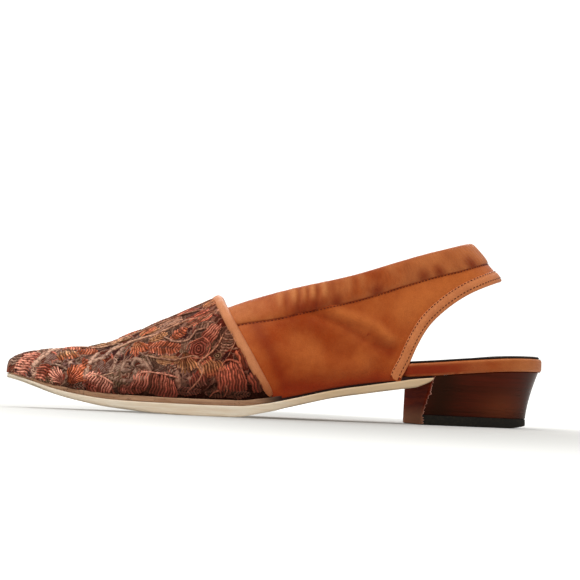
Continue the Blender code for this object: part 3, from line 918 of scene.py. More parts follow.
def breast_look(tree, place):
    """The heel's front cover: matte, scratched across, greyer low down."""
    scratch = noise(tree, place, 60.0, 6.0, 0.75, (1.0, 0.6, 8.0))
    low = spread(tree, parts_of(tree, place)["Z"], 0.003, 0.011, 1.0, 0.0)
    colour = painted(tree, (94, 25, 9),
                     (spread(tree, scratch, 0.35, 0.75), (134, 54, 32)),
                     (low, (148, 100, 76)),
                     (mark(tree, "pale"), (206, 150, 132)))
    return surface(tree, colour, scratch, (0.75, 0.9), (scratch, 0.4, 0.0002))


def rubber_look(tree, place):
    grit = noise(tree, place, 900.0, 4.0, 0.7)
    colour = tint(tree, spread(tree, grit, 0.4, 0.75), (24, 20, 13), (52, 45, 33))
    return surface(tree, colour, grit, (0.6, 0.85), (grit, 0.4, 0.0002))


def stitch_look(tree, place):
    ply = noise(tree, place, 1800.0, 2.0)
    colour = tint(tree, spread(tree, ply, 0.3, 0.7), (58, 14, 4), (108, 36, 12))
    return surface(tree, colour, ply, (0.5, 0.7), (ply, 0.5, 0.0001))


def floor_look(tree, place):
    """White card, which glows a little, more far from the shoe, so that it has no horizon; the glow
    also lights the shoe a little. Seen directly, its glow is dimmed softly round the shoe, more in
    front than behind: a painted shadow."""
    slow = noise(tree, place, 3.0, 2.0)
    colour = tint(tree, slow, (0.46, 0.455, 0.435, 1), (0.48, 0.475, 0.455, 1))
    away = add(tree, "VectorMath", {0: place}, operation="LENGTH").outputs["Value"]
    glow = spread(tree, away, 0.10, 0.5, 0.35, 1.0)
    parts = parts_of(tree, place)
    behind = plus(tree, parts["Y"], 0.05)
    deep = calc(tree, "MAXIMUM", times(tree, behind, 0.6), times(tree, behind, -1.9))
    wide = times(tree, calc(tree, "SUBTRACT", parts["X"], 0.02), 5.2)
    reach = calc(tree, "SQRT", plus(tree, times(tree, deep, deep), times(tree, wide, wide)))
    shaded = times(tree, glow, spread(tree, reach, 0.1, 1.0, 0.25, 1.0))
    seen = add(tree, "LightPath").outputs["Is Camera Ray"]
    strength = add(tree, "Mix", {0: seen, 2: times(tree, glow, 0.5), 3: shaded}).outputs[0]
    return {"Base Color": colour, "Roughness": spread(tree, slow, 0, 1, 0.85, 0.95),
            "Emission Strength": strength}


QUARTER_LEATHER = finish("cognac_leather",
                         leather_look((210, 114, 54), (164, 60, 12), (128, 26, 5)), 0.35)
BINDING_LEATHER = finish("binding_leather",
                         leather_look((228, 144, 92), (198, 106, 56), (130, 40, 16)), 0.35)
BAND_LEATHER = finish("band_leather",
                      leather_look((214, 132, 76), (172, 74, 26), (122, 30, 9)), 0.35)
PIPING_LEATHER = finish("pale_piping_leather",
                        leather_look((226, 152, 106), (196, 116, 72), (132, 60, 30), (0.36, 0.52)),
                        0.3)
SEAT_LEATHER = finish("seat_edge_leather",
                      leather_look((208, 128, 72), (168, 78, 30), (138, 34, 10)), 0.4)
LINING = finish("lining", lining_look, 0.3, warm=False)
GROUND = finish("netted_ground_cloth", ground_look, 0.1)
THREAD = finish("embroidery_thread", thread_look, 0.3)
SOCK_LEATHER = finish("dark_sock_leather", sock_look, 0.3, warm=False)
SOLE_LEATHER = finish("sole_leather", sole_look, 0.3, warm=False)
RAND_LEATHER = finish("sole_edge_leather", rand_look, 0.25, warm=False)
HEEL_STACK = finish("heel_stack", heel_look, 0.2, Coat_Weight=0.02, Coat_Roughness=0.2)
BREAST_LEATHER = finish("breast_cover_leather", breast_look, 0.05, warm=False)
RUBBER = finish("lift_rubber", rubber_look, 0.3, warm=False)
STITCH_THREAD = finish("stitch_thread", stitch_look, 0.15, warm=False)
PALE_FLOOR = finish("pale_floor", floor_look, 0.1, warm=False,
                    Emission_Color=(1.0, 1.0, 0.985, 1.0))


# Camera, light and floor

ROOM_LOW, ROOM_HIGH = 0.25, 0.95     # brightness of the room near the floor and overhead
LIGHTS = [
    # name, place, aim, size, watts
    ("window", (-0.35, -0.45, 1.2), (0, 0, 0.02), (0.9, 0.7), 10.2),
    ("back_window", (0.25, 0.9, 1.0), (0, 0, 0.03), (1.0, 0.8), 7.6),
]
FLOOR_HALF = 6.0
SWEEP = 2.5                  # radius of the bend between floor and backdrop


def placed(name, data):
    thing = bpy.data.objects.new(name, data)
    bpy.context.scene.collection.objects.link(thing)
    return thing


def set_camera():
    lens = bpy.data.cameras.new("camera")
    lens.lens = LENS
    lens.sensor_width = SENSOR
    lens.clip_start = 0.01
    lens.clip_end = 50
    camera = placed("camera", lens)
    turn = Matrix((EYE_RIGHT, EYE_UP, EYE_RIGHT.cross(EYE_UP))).transposed()
    camera.matrix_world = Matrix.Translation(EYE) @ turn.to_4x4()
    bpy.context.scene.camera = camera


def set_light():
    """Window light from above and a little in front, in a room that is darker where the
    photographer stands. Seen directly, the room is white."""
    world = bpy.data.worlds.new("studio")
    bpy.context.scene.world = world
    world.use_nodes = True
    tree = world.node_tree
    way = parts_of(tree, add(tree, "TexCoord").outputs["Generated"])
    high = spread(tree, way["Z"], -0.1, 0.8, ROOM_LOW, ROOM_HIGH)
    behind = spread(tree, way["Y"], -0.7, 0.5, 0.5, 1.0)
    seen = add(tree, "LightPath").outputs["Is Camera Ray"]
    strength = add(tree, "Mix", {0: seen, 2: times(tree, high, behind), 3: 1.0}).outputs[0]
    tree.links.new(strength, tree.nodes["Background"].inputs["Strength"])
    tree.nodes["Background"].inputs["Color"].default_value = (1.0, 1.0, 0.985, 1)
    for name, place, aim, size, watts in LIGHTS:
        data = bpy.data.lights.new(name, "AREA")
        data.shape = "RECTANGLE"
        data.size, data.size_y = size
        data.energy = watts
        light = placed(name, data)
        light.location = place
        light.rotation_euler = (Vector(aim) - Vector(place)).to_track_quat("-Z", "Y").to_euler()
    bpy.context.scene.view_settings.view_transform = "Standard"


def select_in(mesh, chosen):
    """Selects the corners that are chosen, and the edges between two of them."""
    for vertex in mesh.vertices:
        vertex.select = chosen(vertex.co)
    for edge in mesh.edges:
        edge.select = all(chosen(mesh.vertices[end].co) for end in edge.vertices)


def set_stage():
    """A pale sheet: flat underfoot, then bent up into a backdrop."""
    nothing_selected()
    bpy.ops.mesh.primitive_plane_add(size=2 * FLOOR_HALF, location=(0, 0, 0))
    sheet = bpy.context.object
    sheet.name = "studio_sheet"
    bpy.ops.object.mode_set(mode="EDIT")
    bpy.ops.mesh.select_all(action="DESELECT")
    bpy.ops.object.mode_set(mode="OBJECT")
    select_in(sheet.data, lambda at: at.y > 0)
    bpy.ops.object.mode_set(mode="EDIT")
    bpy.ops.mesh.extrude_region_move(TRANSFORM_OT_translate={"value": (0, 0, 2 * FLOOR_HALF)})
    bpy.ops.object.mode_set(mode="OBJECT")
    select_in(sheet.data, lambda at: at.y > 0 and abs(at.z) < 1e-6)
    bpy.ops.object.mode_set(mode="EDIT")
    bpy.ops.mesh.bevel(offset=SWEEP, segments=16, affect="EDGES")
    bpy.ops.object.mode_set(mode="OBJECT")
    bpy.ops.object.shade_smooth()
    settled(sheet)
    sheet.data.materials.append(PALE_FLOOR)


# Creases of the quarters, and their stains and painted light and shade, as (share of the length,
# height in mm) from the side

FOLDS = [
    # depth mm, half width mm, points
    (-0.9, 3.0, [(0.528, 49.8), (0.558, 47.9), (0.598, 44.7), (0.623, 40.7), (0.653, 37.3),
                 (0.682, 36.3)]),
    (0.8, 3.4, [(0.548, 53.1), (0.574, 50.8), (0.613, 48.6), (0.646, 46.0), (0.670, 41.0)]),
    (-0.5, 5.0, [(0.500, 38.0), (0.540, 34.0), (0.600, 30.0)]),
    (0.5, 6.0, [(0.470, 30.0), (0.540, 26.0), (0.620, 25.0)]),
    (-0.45, 3.0, [(0.640, 27.0), (0.664, 21.0)]),
    (0.35, 4.0, [(0.700, 56.0), (0.760, 66.0)]),
]

STAINS_AND_PAINTED_LIGHT = [
    # tone, strength, half width mm, points
    # Dark marks along the creases' hollows and low on the quarter are painted shade, and pale marks
    # along the creases' ridges are painted highlight; the rest are stains and paler leather.
    ("dark", 0.32, 1.8, [(0.536, 49.6), (0.565, 47.6), (0.600, 43.6)]),
    ("dark", 0.42, 2.4, [(0.590, 44.6), (0.622, 40.6)]),
    ("dark", 0.55, 3.4, [(0.646, 37.5), (0.672, 35.0)]),
    ("dark", 0.60, 3.4, [(0.425, 44.0), (0.450, 31.0), (0.472, 19.0), (0.490, 11.0)]),
    ("dark", 0.85, 5.5, [(0.480, 14.5), (0.560, 15.5), (0.650, 20.5)]),
    ("dark", 0.30, 5.0, [(0.480, 46.0), (0.530, 44.0)]),
    ("pale", 0.95, 3.2, [(0.570, 52.4), (0.615, 49.4), (0.648, 46.4), (0.672, 41.0)]),
    ("pale", 0.45, 4.0, [(0.500, 37.5), (0.530, 34.0)]),
    ("pale", 0.30, 6.0, [(0.540, 29.0), (0.600, 28.0)]),
    ("pale", 0.95, 9.0, [(0.700, 55.0), (0.720, 59.0), (0.800, 69.0), (0.860, 75.0)]),
    ("pale", 0.95, 0.5, [(0.5135, 41.6), (0.5145, 41.0)]),
    ("dark", 0.90, 0.6, [(0.6305, 42.4), (0.6315, 42.0)]),
]

FAR_FOLDS = 0.55             # how strong creases, and stains and painted light and shade, are on the inner side
FAR_STAINS_AND_LIGHT = 0.6


def near_path(x, z, points, width):
    """1 on a line drawn through the points, falling off softly on either side of it."""
    nearest = np.full(np.shape(x), 1e9)
    spots = [(x_of(share), height * MM) for share, height in points]
    for (x0, z0), (x1, z1) in zip(spots, spots[1:]):
        square = (x1 - x0) ** 2 + (z1 - z0) ** 2
        t = np.clip(((x - x0) * (x1 - x0) + (z - z0) * (z1 - z0)) / square, 0, 1)
        nearest = np.minimum(nearest, np.hypot(x - x0 - t * (x1 - x0), z - z0 - t * (z1 - z0)))
    return np.exp(-(nearest / (width * MM)) ** 2)


def folded(s, x, z):
    """How far the creases move the quarter's leather, outwards."""
    total = np.zeros(np.shape(x))
    for depth, width, points in FOLDS:
        total += depth * MM * near_path(x, z, points, width)
    clear = soft(x, x_of(0.44), x_of(0.48)) * soft(z - foot_z(s), 1 * MM, 8 * MM)
    return total * np.where(s < 0, 1.0, FAR_FOLDS) * clear


def stain_or_painted_light(tone, s, x, z):
    """How strong the stains, and the painted light and shade along the creases, of one tone are."""
    strengths = [strength * near_path(x, z, points, width)
                 for kind, strength, width, points in STAINS_AND_PAINTED_LIGHT if kind == tone]
    return most(*strengths) * np.where(s < 0, 1, FAR_STAINS_AND_LIGHT)


# Upper

QUARTER_COLUMNS, QUARTER_ROWS = 401, 56
FRONT_S = BACK_TURN - 0.415  # s at the middle of the vamp's edge
HEM = 1.7 * MM               # how far the quarter is drawn down over the rand
BEHIND_EDGE = 0.2 * MM       # how far behind the vamp's edge the quarter starts
FOOT_SWELL = 0.55 * MM       # how far its foot bulges out behind the ball


def foot_z(s):
    """The quarter's lower edge, which is drawn down over the rand behind the ball."""
    share = share_at(s)
    return feather(share) + GAP - HEM * soft(share, 0.40, 0.48)


def quarter_grid():
    """s and z over both quarters and the strap, from one end of the vamp's edge to the other."""
    k = np.linspace(-1, 1, QUARTER_COLUMNS)[:, None] + np.zeros((1, QUARTER_ROWS))
    t = np.linspace(0, 1, QUARTER_ROWS)[None, :] + np.zeros((QUARTER_COLUMNS, 1))
    s = FRONT_S * k
    slant = soft(np.abs(k), 0.55, 1.0)
    for _ in range(12):
        foot = foot_z(s)
        low = np.where(share_at(s) < QUARTER_END, foot, np.maximum(height_where(rear_z, s), foot))
        z = low + (height_where(top_z, s) - low) * t
        edge_s = BACK_TURN - share_of(vamp_x(z)) - BEHIND_EDGE / LENGTH
        s = np.sign(k) * (FRONT_S * np.abs(k) + (edge_s - FRONT_S) * slant)
    return s, z


def make_quarters():
    s, z = quarter_grid()
    x = beside_last(s, z)[..., 0]
    over_foot = z - foot_z(s)
    swell = FOOT_SWELL * (1 - soft(over_foot, 1.0 * MM, 5 * MM)) * soft(share_of(x), 0.42, 0.5)
    points = raised("beside", s, z, WALL + folded(s, x, z) + swell)
    # Dark also takes painted shade just under the band's seam and along the quarter's foot.
    seam_shade = 0.5 * (1 - soft(height_where(band_z, s) - z, 0, 1.3 * MM))
    foot_shade = 0.75 * (1 - soft(over_foot, 0, 8 * MM))
    piece = laid("quarters_and_strap", points, pale=stain_or_painted_light("pale", s, x, z),
                 dark=most(stain_or_painted_light("dark", s, x, z), foot_shade, seam_shade))
    kept(thickened(piece, WALL), QUARTER_LEATHER, "upper")


def make_vamp_wall():
    """The lined wall under the cloth, which shows only inside the shoe."""
    part = np.linspace(-1, 1, 61)[None, :]
    t = np.linspace(0, 1, 80)[:, None]
    edge, crest = vamp_share(part), vamp_share(part, PIPING_WIDTH / 2)
    free = soft(over_last(edge, part)[..., 2], 49 * MM, 52 * MM)
    start = 0.002
    share = start + (edge + (crest - edge) * free - start) * t
    piece = laid("vamp_lining", raised("over", share, part + 0 * t, WALL + 0 * share))
    kept(thickened(piece, WALL), LINING, "upper")


CLOTH_END = -PIPING_WIDTH / 2 + 1.2 * MM     # the cloth ends under the piping
THREADS_END = -PIPING_WIDTH / 2 + 1.0 * MM   # and so does the thread on it


def make_vamp_cloth():
    """The darned ground that the embroidery lies on."""
    ridge = 75
    part = np.linspace(-1, 1, 2 * ridge + 1)[None, :]
    t = np.linspace(0, 1, 221)[:, None]
    share = vamp_share(part, CLOTH_END) * t ** 1.25
    part = part + 0 * t
    tuck = soft(np.abs(part), 0.965, 1.0)
    points = raised("over", share, part, CLOTH_TOP - 0.5 * MM * tuck)
    # dark: darker along the sole, partly darker threads and partly painted shade where the cloth turns
    # down
    dark = soft(np.abs(part), 0.80, 0.97) * 0.95 * soft(share, 0.06, 0.26)
    girth = np.cumsum(step_lengths(points, 1), axis=1)
    girth = np.concatenate([np.zeros((len(points), 1)), girth], axis=1)
    girth = girth - girth[:, ridge:ridge + 1]
    piece = laid("vamp_cloth", points, closed=True, lengths=(share * LENGTH, girth), dark=dark,
                 red=soft(share, 0.22, 0.40))
    kept(thickened(piece, COVER), GROUND, "vamp_cover")


# Strips: each is a closed section, swept along a line of the upper

def closed_profile(count, power):
    """Points round a pillow-shaped section, as (across, out) from -1 to 1."""
    angle = np.linspace(0, 2 * math.pi, count)
    return [np.sign(side) * np.abs(side) ** power for side in (np.cos(angle), np.sin(angle))]


def tapered(way, power):
    """1 along a strip, and down to 0 at its ends; way runs from -1 to 1."""
    return np.sqrt(np.clip(1 - np.abs(way) ** power, 0, 1))[:, None]


def make_piping():
    """Pale leather rolled over the vamp's rear edge; over the throat it wraps the edge."""
    part = np.linspace(-0.995, 0.995, 260)
    share = vamp_share(part)
    height = over_last(share, part)[:, 2]
    free = soft(height, 48 * MM, 52 * MM)[:, None]
    across, out = closed_profile(25, 0.85)
    ends = tapered(part, 40)
    ripples = 0.10 * MM * np.sin(np.linspace(0, 95, 260) + 2 * np.sin(np.linspace(0, 31, 260)))
    width = PIPING_WIDTH / 2 * (0.9 + 0.1 * soft(height, 16 * MM, 30 * MM))[:, None]
    offset = width * across[None, :] * ends
    crown = WALL + GAP + PIPING + ripples[:, None]
    waist = 1.5 * MM
    back = 0.9 * MM
    wrap = np.where(across < 0.2, back + 1.1 * MM * free, back)
    depth = np.where(out > 0, crown - waist, wrap)
    points = beside_path("over", share, part, offset, waist + depth * out[None, :] * ends)
    # Darker at the roll's edges, partly dirt and partly painted shade where it turns away; darker
    # towards its lower end.
    rub = 0.5 * soft(np.abs(across), 0.75, 1.0)[None, :]
    low = 0.6 * (1 - soft(height, 8 * MM, 20 * MM))[:, None]
    piece = laid("vamp_piping_roll", points, closed=True, dark=most(rub, low), pale=0 * offset)
    kept(piece, PIPING_LEATHER, "vamp_piping")


BAND_BULGE = 1.15 * MM
BAND_OVER = 0.35 * MM        # how far the band stands over the topline
BAND_UNDER = 0.2 * MM        # how far it reaches below the line of its seam
BAND_INSIDE = 0.6 * MM       # how thick it is inside the shoe
GATHERS = [
    # share of the length, fullness, half width mm
    (0.468, 0.60, 1.6),
    (0.480, -0.45, 1.1),
    (0.492, 0.80, 1.4),
    (0.502, -0.60, 0.8),
    (0.511, 0.55, 0.9),
    (0.517, -0.60, 0.8),
    (0.525, 0.90, 1.1),
    (0.534, -0.60, 1.0),
    (0.545, 1.00, 1.6),
    (0.560, -0.40, 1.6),
    (0.590, 0.45, 2.2),
    (0.602, -0.30, 1.6),
    (0.613, 0.40, 1.8),
    (0.640, -0.30, 2.6),
    (0.672, 0.35, 2.4),
    (0.700, -0.30, 2.6),
    (0.730, 0.30, 3.0),
    (0.780, -0.25, 3.0),
    (0.830, 0.25, 3.0),
]
BLOTS = [(0.505, 6.0), (0.528, 6.0), (0.566, 3.5), (0.640, 3.5), (0.717, 3.2), (0.744, 2.6),
         (0.800, 3.0)]


def band_line(height):
    """s and z along the topline or the band's seam, from piping to piping, and the reach of s."""
    z = top_z(vamp_x(50 * MM))
    reach = float(BACK_TURN - share_of(vamp_x(z)))
    s = np.linspace(-reach, reach, 520)
    return s, height_where(height, s), reach


def bumps(shares, at, width):
    return np.exp(-((shares - at) * LENGTH / (width * MM)) ** 2)


def make_band():
    """The casing along the topline: a flat pillow folded over the edge, gathered in places."""
    s, z, reach = band_line(top_z)
    x = beside_last(s, z)[:, 0]
    across, out = closed_profile(41, 0.72)
    upper, lower = z + BAND_OVER, height_where(band_z, s) - BAND_UNDER
    level = (upper + lower)[:, None] / 2 + (upper - lower)[:, None] / 2 * across[None, :]
    shares = share_of(x)
    gather = sum(fullness * bumps(shares, at, width) for at, fullness, width in GATHERS)
    wrinkle = np.sin(s * 900) * np.sin(s * 341 + 1.0)
    bulge = BAND_BULGE * (1 + 0.12 * wrinkle + 0.5 * gather)
    thick = np.where(out > 0, WALL / 2 + bulge[:, None], WALL / 2 + BAND_INSIDE)
    points = raised("beside", s[:, None] + 0 * level, level,
                    WALL / 2 + thick * out[None, :] * tapered(s / reach, 60)
                    + folded(s, x, z)[:, None])
    face = np.where(out > 0, 1.0, 0.0)[None, :]
    # Pale: painted highlight on the gathers' folds, and paler leather to the rear. Dark: blots,
    # painted shade in the gathers' hollows and along the lower edge by the seam, and darker along the
    # top of the face.
    full, hollow = [np.clip(sign * gather[:, None], 0, 1) for sign in (1, -1)]
    blot = most(*[bumps(shares, at, width) for at, width in BLOTS])[:, None]
    pale = most(full * face * soft(across, -0.6, 0.3)[None, :],
                0.6 * soft(shares, 0.66, 0.78)[:, None] * face)
    dark = most(0.8 * blot * soft(-across, -0.35, 0.7)[None, :] * face,
                hollow * 0.9 * face,
                0.9 * soft(-across, 0.90, 0.99)[None, :],
                0.35 * soft(across, 0.6, 1.0)[None, :] * face)
    piece = laid("top_casing", points, closed=True, dark=dark, pale=pale)
    kept(piece, BAND_LEATHER, "top_band")


FACING_OVER = 0.3 * MM       # how far the strip stands over the quarter's edge
FACING_BULGE = 0.75 * MM
FACING_INSIDE = 0.35 * MM    # how thick it is inside the shoe
FACING_SEAMS = (0.62, -0.55)  # where its two rows of stitches sink in, across it


def rear_path(count=420):
    """s and z along the rear edge of one quarter, under the strap, and down the other side."""
    foot = feather(QUARTER_END)
    seen = REAR_Z > foot - 3.0 * MM
    s = s_where(REAR_X[seen], np.maximum(REAR_Z[seen], foot + 0.1 * MM))
    on_last = s > 1e-4
    s, z = s[on_last], REAR_Z[seen][on_last]
    s, z = np.append(s, 0.0), np.append(z, float(height_where(rear_z, np.array([0.0]))[0]))
    run = summed(np.hypot(np.diff(s) * LENGTH, np.diff(z)))
    even = np.linspace(0, run[-1], count // 2)
    s, z = np.interp(even, run, s), np.interp(even, run, z)
    return np.concatenate([-s, s[-2::-1]]), np.concatenate([z, z[-2::-1]])


def make_facing():
    """A stitched strip that binds the quarter's rear edge and the strap's lower edge."""
    s, z = rear_path()
    across, out = closed_profile(31, 0.6)
    half = (FACING_WIDTH + FACING_OVER) / 2
    offset = (half - FACING_OVER) + half * across[None, :] + 0 * s[:, None]
    x = beside_last(s, z)[:, 0]
    sewn = 1 - 0.35 * sum(np.exp(-((across - row) / 0.12) ** 2) for row in FACING_SEAMS)
    thick = np.where(out > 0, WALL / 2 + FACING_BULGE * sewn, WALL / 2 + FACING_INSIDE)[None, :]
    points = beside_path("beside", s, z, offset, WALL / 2 + thick * out[None, :]
                         * tapered(np.linspace(-1, 1, len(s)), 200) + folded(s, x, z)[:, None])
    rim = 0.8 * soft(-across, 0.86, 1.0)[None, :] + 0 * offset
    # Painted shade along the strip's inner edge, where it meets the quarter.
    groove_shade = 0.5 * soft(across, 0.9, 1.0)[None, :] + 0 * offset
    piece = laid("rear_binding", points, closed=True, dark=groove_shade, pale=np.maximum(rim, 0.6))
    kept(piece, BINDING_LEATHER, "rear_facing")


# Stitches

BINDING_STITCH = (1.35 * MM, 0.48 * MM)      # length and width
BINDING_PITCH = 1.95 * MM
BINDING_ROWS = [
    # how far from the edge, how high over the last
    (FACING_WIDTH - 0.55 * MM, 1.85 * MM),
    (1.6 * MM, 2.05 * MM),
]
BAND_STITCH = (1.25 * MM, 0.42 * MM)
BAND_PITCH = 1.75 * MM
BELOW_BAND = -0.45 * MM      # from the seam to the stitches under it


def stitch_places(s, z, offset, height, pitch):
    """Evenly spaced places beside a line, each turned along it and standing off the leather."""
    height = height + folded(s, beside_last(s, z)[:, 0], z)[:, None]
    centre, above = [beside_path("beside", s, z, np.array([[offset]]), height + more)[:, 0]
                     for more in (0.0, MM)]
    run = summed(step_lengths(centre, 0))
    places = []
    for at in np.arange(pitch, run[-1] - pitch / 2, pitch):
        spot, up = [Vector([np.interp(at, run, line[:, k]) for k in range(3)])
                    for line in (centre, above)]
        ahead = Vector([np.interp(at + 0.3 * MM, run, centre[:, k]) for k in range(3)]) - spot
        ahead, up = ahead.normalized(), (up - spot).normalized()
        side = up.cross(ahead).normalized()
        turn = Matrix((ahead, side, ahead.cross(side))).transposed()
        places.append(Matrix.Translation(spot) @ turn.to_4x4())
    return places


def sew(name, size, places, node):
    """A bead of thread, copied to each place and joined to one piece."""
    length, width = size
    nothing_selected()
    bpy.ops.mesh.primitive_uv_sphere_add(segments=8, ring_count=6, radius=0.5)
    bead = bpy.context.object
    bead.scale = (length, width, width * 0.8)
    bpy.ops.object.shade_smooth()
    kept(joined(copied(settled(bead), places), name), STITCH_THREAD, node)


def make_stitches():
    s, z = rear_path()
    places = []
    for offset, height in BINDING_ROWS:
        places += stitch_places(s, z, offset, height, BINDING_PITCH)
    sew("binding_stitches", BINDING_STITCH, places, "rear_facing")
    s, z, _ = band_line(band_z)
    places = stitch_places(s, z, BELOW_BAND, WALL + 0.1 * MM, BAND_PITCH)
    sew("band_stitches", BAND_STITCH, places, "top_band")


# Bottom of the shoe, laid as outlines one above the other

def flat(share):
    return 0 * share


def plan_point(shares, sides, inset, fraction):
    outer, inner = half_widths(shares, inset)
    tip = np.clip(1 - shares / TOE_ROUND, 0, 1)
    tip = np.maximum(1 - tip ** SEAT_FULLNESS, 0) ** (1 / SEAT_FULLNESS)
    return (inner - outer) / 2 + sides * (inner + outer) / 2 * tip * fraction


def layer(name, start, end, inset, foot, top, edge, belly=flat, crown=flat, marks=None):
    """A layer of the bottom, its outline run along the outer side and back along the inner. Foot
    and top give its faces' heights, belly and crown their swell, edge the rounding of the rim."""
    count = 150
    share = start + (end - start) * (1 - np.cos(math.pi * np.linspace(0, 1, count))) / 2
    shares = np.concatenate([share, share[-2::-1]])
    sides = np.concatenate([np.full(count, -1.0), np.full(count - 1, 1.0)])
    low, high = foot(shares), top(shares)
    limit = np.minimum(edge, (high - low) * 0.45)
    face = [(0.0, fraction, 0.0) for fraction in (0.0, 0.25, 0.5, 0.75, 0.92)]
    face += [(edge * (1 - math.sin(turn)), 1.0, edge * (1 - math.cos(turn)))
             for turn in np.linspace(0, math.pi / 2, 5)]
    rings = []

    def lay_face(height, way, swell, steps):
        for inward, fraction, up in steps:
            y = plan_point(shares, sides, inset(shares) + inward, fraction)
            z = height + way * np.minimum(up, limit) - way * swell(shares) * (1 - fraction ** 2)
            rings.append(np.stack([x_of(shares), y, z], -1))

    lay_face(low, 1, belly, face)
    for part in (0.25, 0.5, 0.75):
        y = plan_point(shares, sides, inset(shares), 1.0)
        z = low + limit + (high - low - 2 * limit) * part
        rings.append(np.stack([x_of(shares), y, z], -1))
    lay_face(high, -1, crown, face[::-1])
    points = np.stack(rings, 1)
    return laid(name, points, closed=True, **(marks(points) if marks else {}))


def midsole_foot(share):
    return feather(share) - MIDSOLE * midsole_share(share)


def outsole_foot(share):
    whole = OUTSOLE * outsole_share(share)
    ahead = np.clip((SOLE_END - share) * LENGTH / LIP_LENGTH, 0, 1)
    lip = LIP_EDGE + (whole - LIP_EDGE) * ahead ** 0.62
    return np.maximum(midsole_foot(share) - GAP - lip, 0.0)


def insole_top(share):
    return feather(share) + GAP + INSOLE * insole_share(share)


def make_outsole():
    def marks(points):
        share, z = share_of(points[..., 0]), points[..., 2]
        return {"dark": 0.7 * soft(share, 0.42, 0.56),
                "under": soft(outsole_foot(share) - z, -0.8 * MM, -0.2 * MM)}
    piece = layer("leather_outsole", 0.0, SOLE_END, flat, outsole_foot,
                  lambda s: midsole_foot(s) - TOUCH, edge=0.7 * MM,
                  belly=lambda s: np.minimum(BELLY, outsole_foot(s)), marks=marks)
    kept(piece, SOLE_LEATHER, "outsole")


def make_rand():
    piece = layer("sole_rand", 0.003, SOLE_END, lambda s: WAIST_INSET * waist_share(s),
                  midsole_foot, feather, edge=0.5 * MM,
                  # dark under the arch: painted shade
                  marks=lambda points: {"dark": soft(share_of(points[..., 0]), 0.415, 0.475)})
    kept(piece, RAND_LEATHER, "midsole")


def make_seat():
    """The wrapped board: inside the upper at the front, the open heel seat at the back."""
    def inset(share):
        return np.where(share >= STEP, SEAT_INSET, LAST_INSET + 2 * GAP)

    def marks(points):
        share = share_of(points[..., 0])
        up = (points[..., 2] - feather(share)) / (insole_top(share) - feather(share))
        front = 1 - soft(share, 0.76, 0.90)
        ragged = 0.5 + 0.5 * np.sin(share * 700) * np.sin(share * 311 + 1)
        hem = (1 - soft(up, 0.08, 0.2)) * front * ragged
        # crest: a painted highlight along the top of the wrap
        crest = soft(up, 0.72, 0.9) * 0.6
        return {"dark": 0.95 * front * (1 - crest) * (1 - hem),
                "pale": most(0.7 * soft(share, 0.86, 0.97), crest, hem)}
    piece = layer("wrapped_seat", 0.018, 1 - SEAT_INSET / LENGTH, inset,
                  lambda s: feather(s) + TOUCH, insole_top, edge=1.3 * MM, marks=marks)
    kept(piece, SEAT_LEATHER, "insole")


def make_sock():
    def inset(share):
        return np.where(share > STEP, SEAT_INSET + SOCK_INSET, LAST_INSET + 3 * GAP)
    piece = layer("sock_sheet", 0.024, 1 - (SEAT_INSET + SOCK_INSET) / LENGTH, inset,
                  lambda s: insole_top(s) + GAP, lambda s: insole_top(s) + GAP + SOCK,
                  edge=0.35 * MM, crown=lambda s: 0.9 * MM * soft(s, 0.80, 0.93))
    kept(piece, SOCK_LEATHER, "sock")


# Heel

HEEL_STEPS = 46
HEEL_TOP_INSET = SEAT_INSET + HEEL_INSET
HEEL_HOLLOW = 0.5 * MM       # how deep its front is hollowed


def heel_ring(level, height, shrink=0.0):
    """One outline of the heel: level 0 is its foot and 1 its top."""
    front = LENGTH - HEEL_LENGTH - HEEL_FRONT_RAKE * (1 - level) + shrink
    back = LENGTH - HEEL_TOP_INSET - HEEL_BACK_RAKE * (1 - level ** HEEL_CURL) - shrink
    part = np.sin(math.pi / 2 * np.linspace(0, 1, HEEL_STEPS))
    top_place = (LENGTH - HEEL_LENGTH + (HEEL_LENGTH - HEEL_TOP_INSET) * part) / LENGTH
    foot = HEEL_FOOT_WIDTH / 2 * np.maximum(1 - part ** HEEL_FULLNESS, 0) ** (1 / HEEL_FULLNESS)
    outer, inner = [np.maximum(foot + (top - foot) * level - shrink, 0)
                    for top in half_widths(top_place, HEEL_TOP_INSET)]
    place = front + (back - front) * part
    breast = np.linspace(1, -1, 13)[1:-1]
    front_y = np.where(breast < 0, breast * outer[0], breast * inner[0])
    hollow = HEEL_HOLLOW * (1 - breast ** 2)
    x = np.concatenate([place, place[-2::-1], front + hollow]) - LENGTH / 2
    y = np.concatenate([-outer, inner[-2::-1], front_y])
    ring = np.stack([x, y, height(share_of(x))], -1)
    return np.concatenate([ring, ring[:1]])


def stacked(name, rings, marks=None):
    """A block made of outlines, closed to a point in the middle of the lowest and the highest."""
    points = np.stack(rings, 1)
    low, high = [end.mean(axis=0, keepdims=True) + 0 * end
                 for end in (points[:, :1], points[:, -1:])]
    points = np.concatenate([low, points, high], 1)
    piece = laid(name, points, closed=True, **(marks(points) if marks else {}))
    bpy.ops.object.shade_smooth_by_angle(angle=math.radians(38))
    return piece


def heel_marks(points):
    """Nearly black behind the breast, warmer low down towards the back."""
    share, z = share_of(points[..., 0]), points[..., 2]
    low = np.exp(-((z - 10 * MM) / (7 * MM)) ** 2)
    return {"pale": 0.6 * np.exp(-((share - 0.905) / 0.045) ** 2) * low,
            "dark": most(0.95 * np.exp(-((share - 0.779) / 0.034) ** 2),
                         0.5 * np.exp(-((share - 0.965) / 0.02) ** 2))}


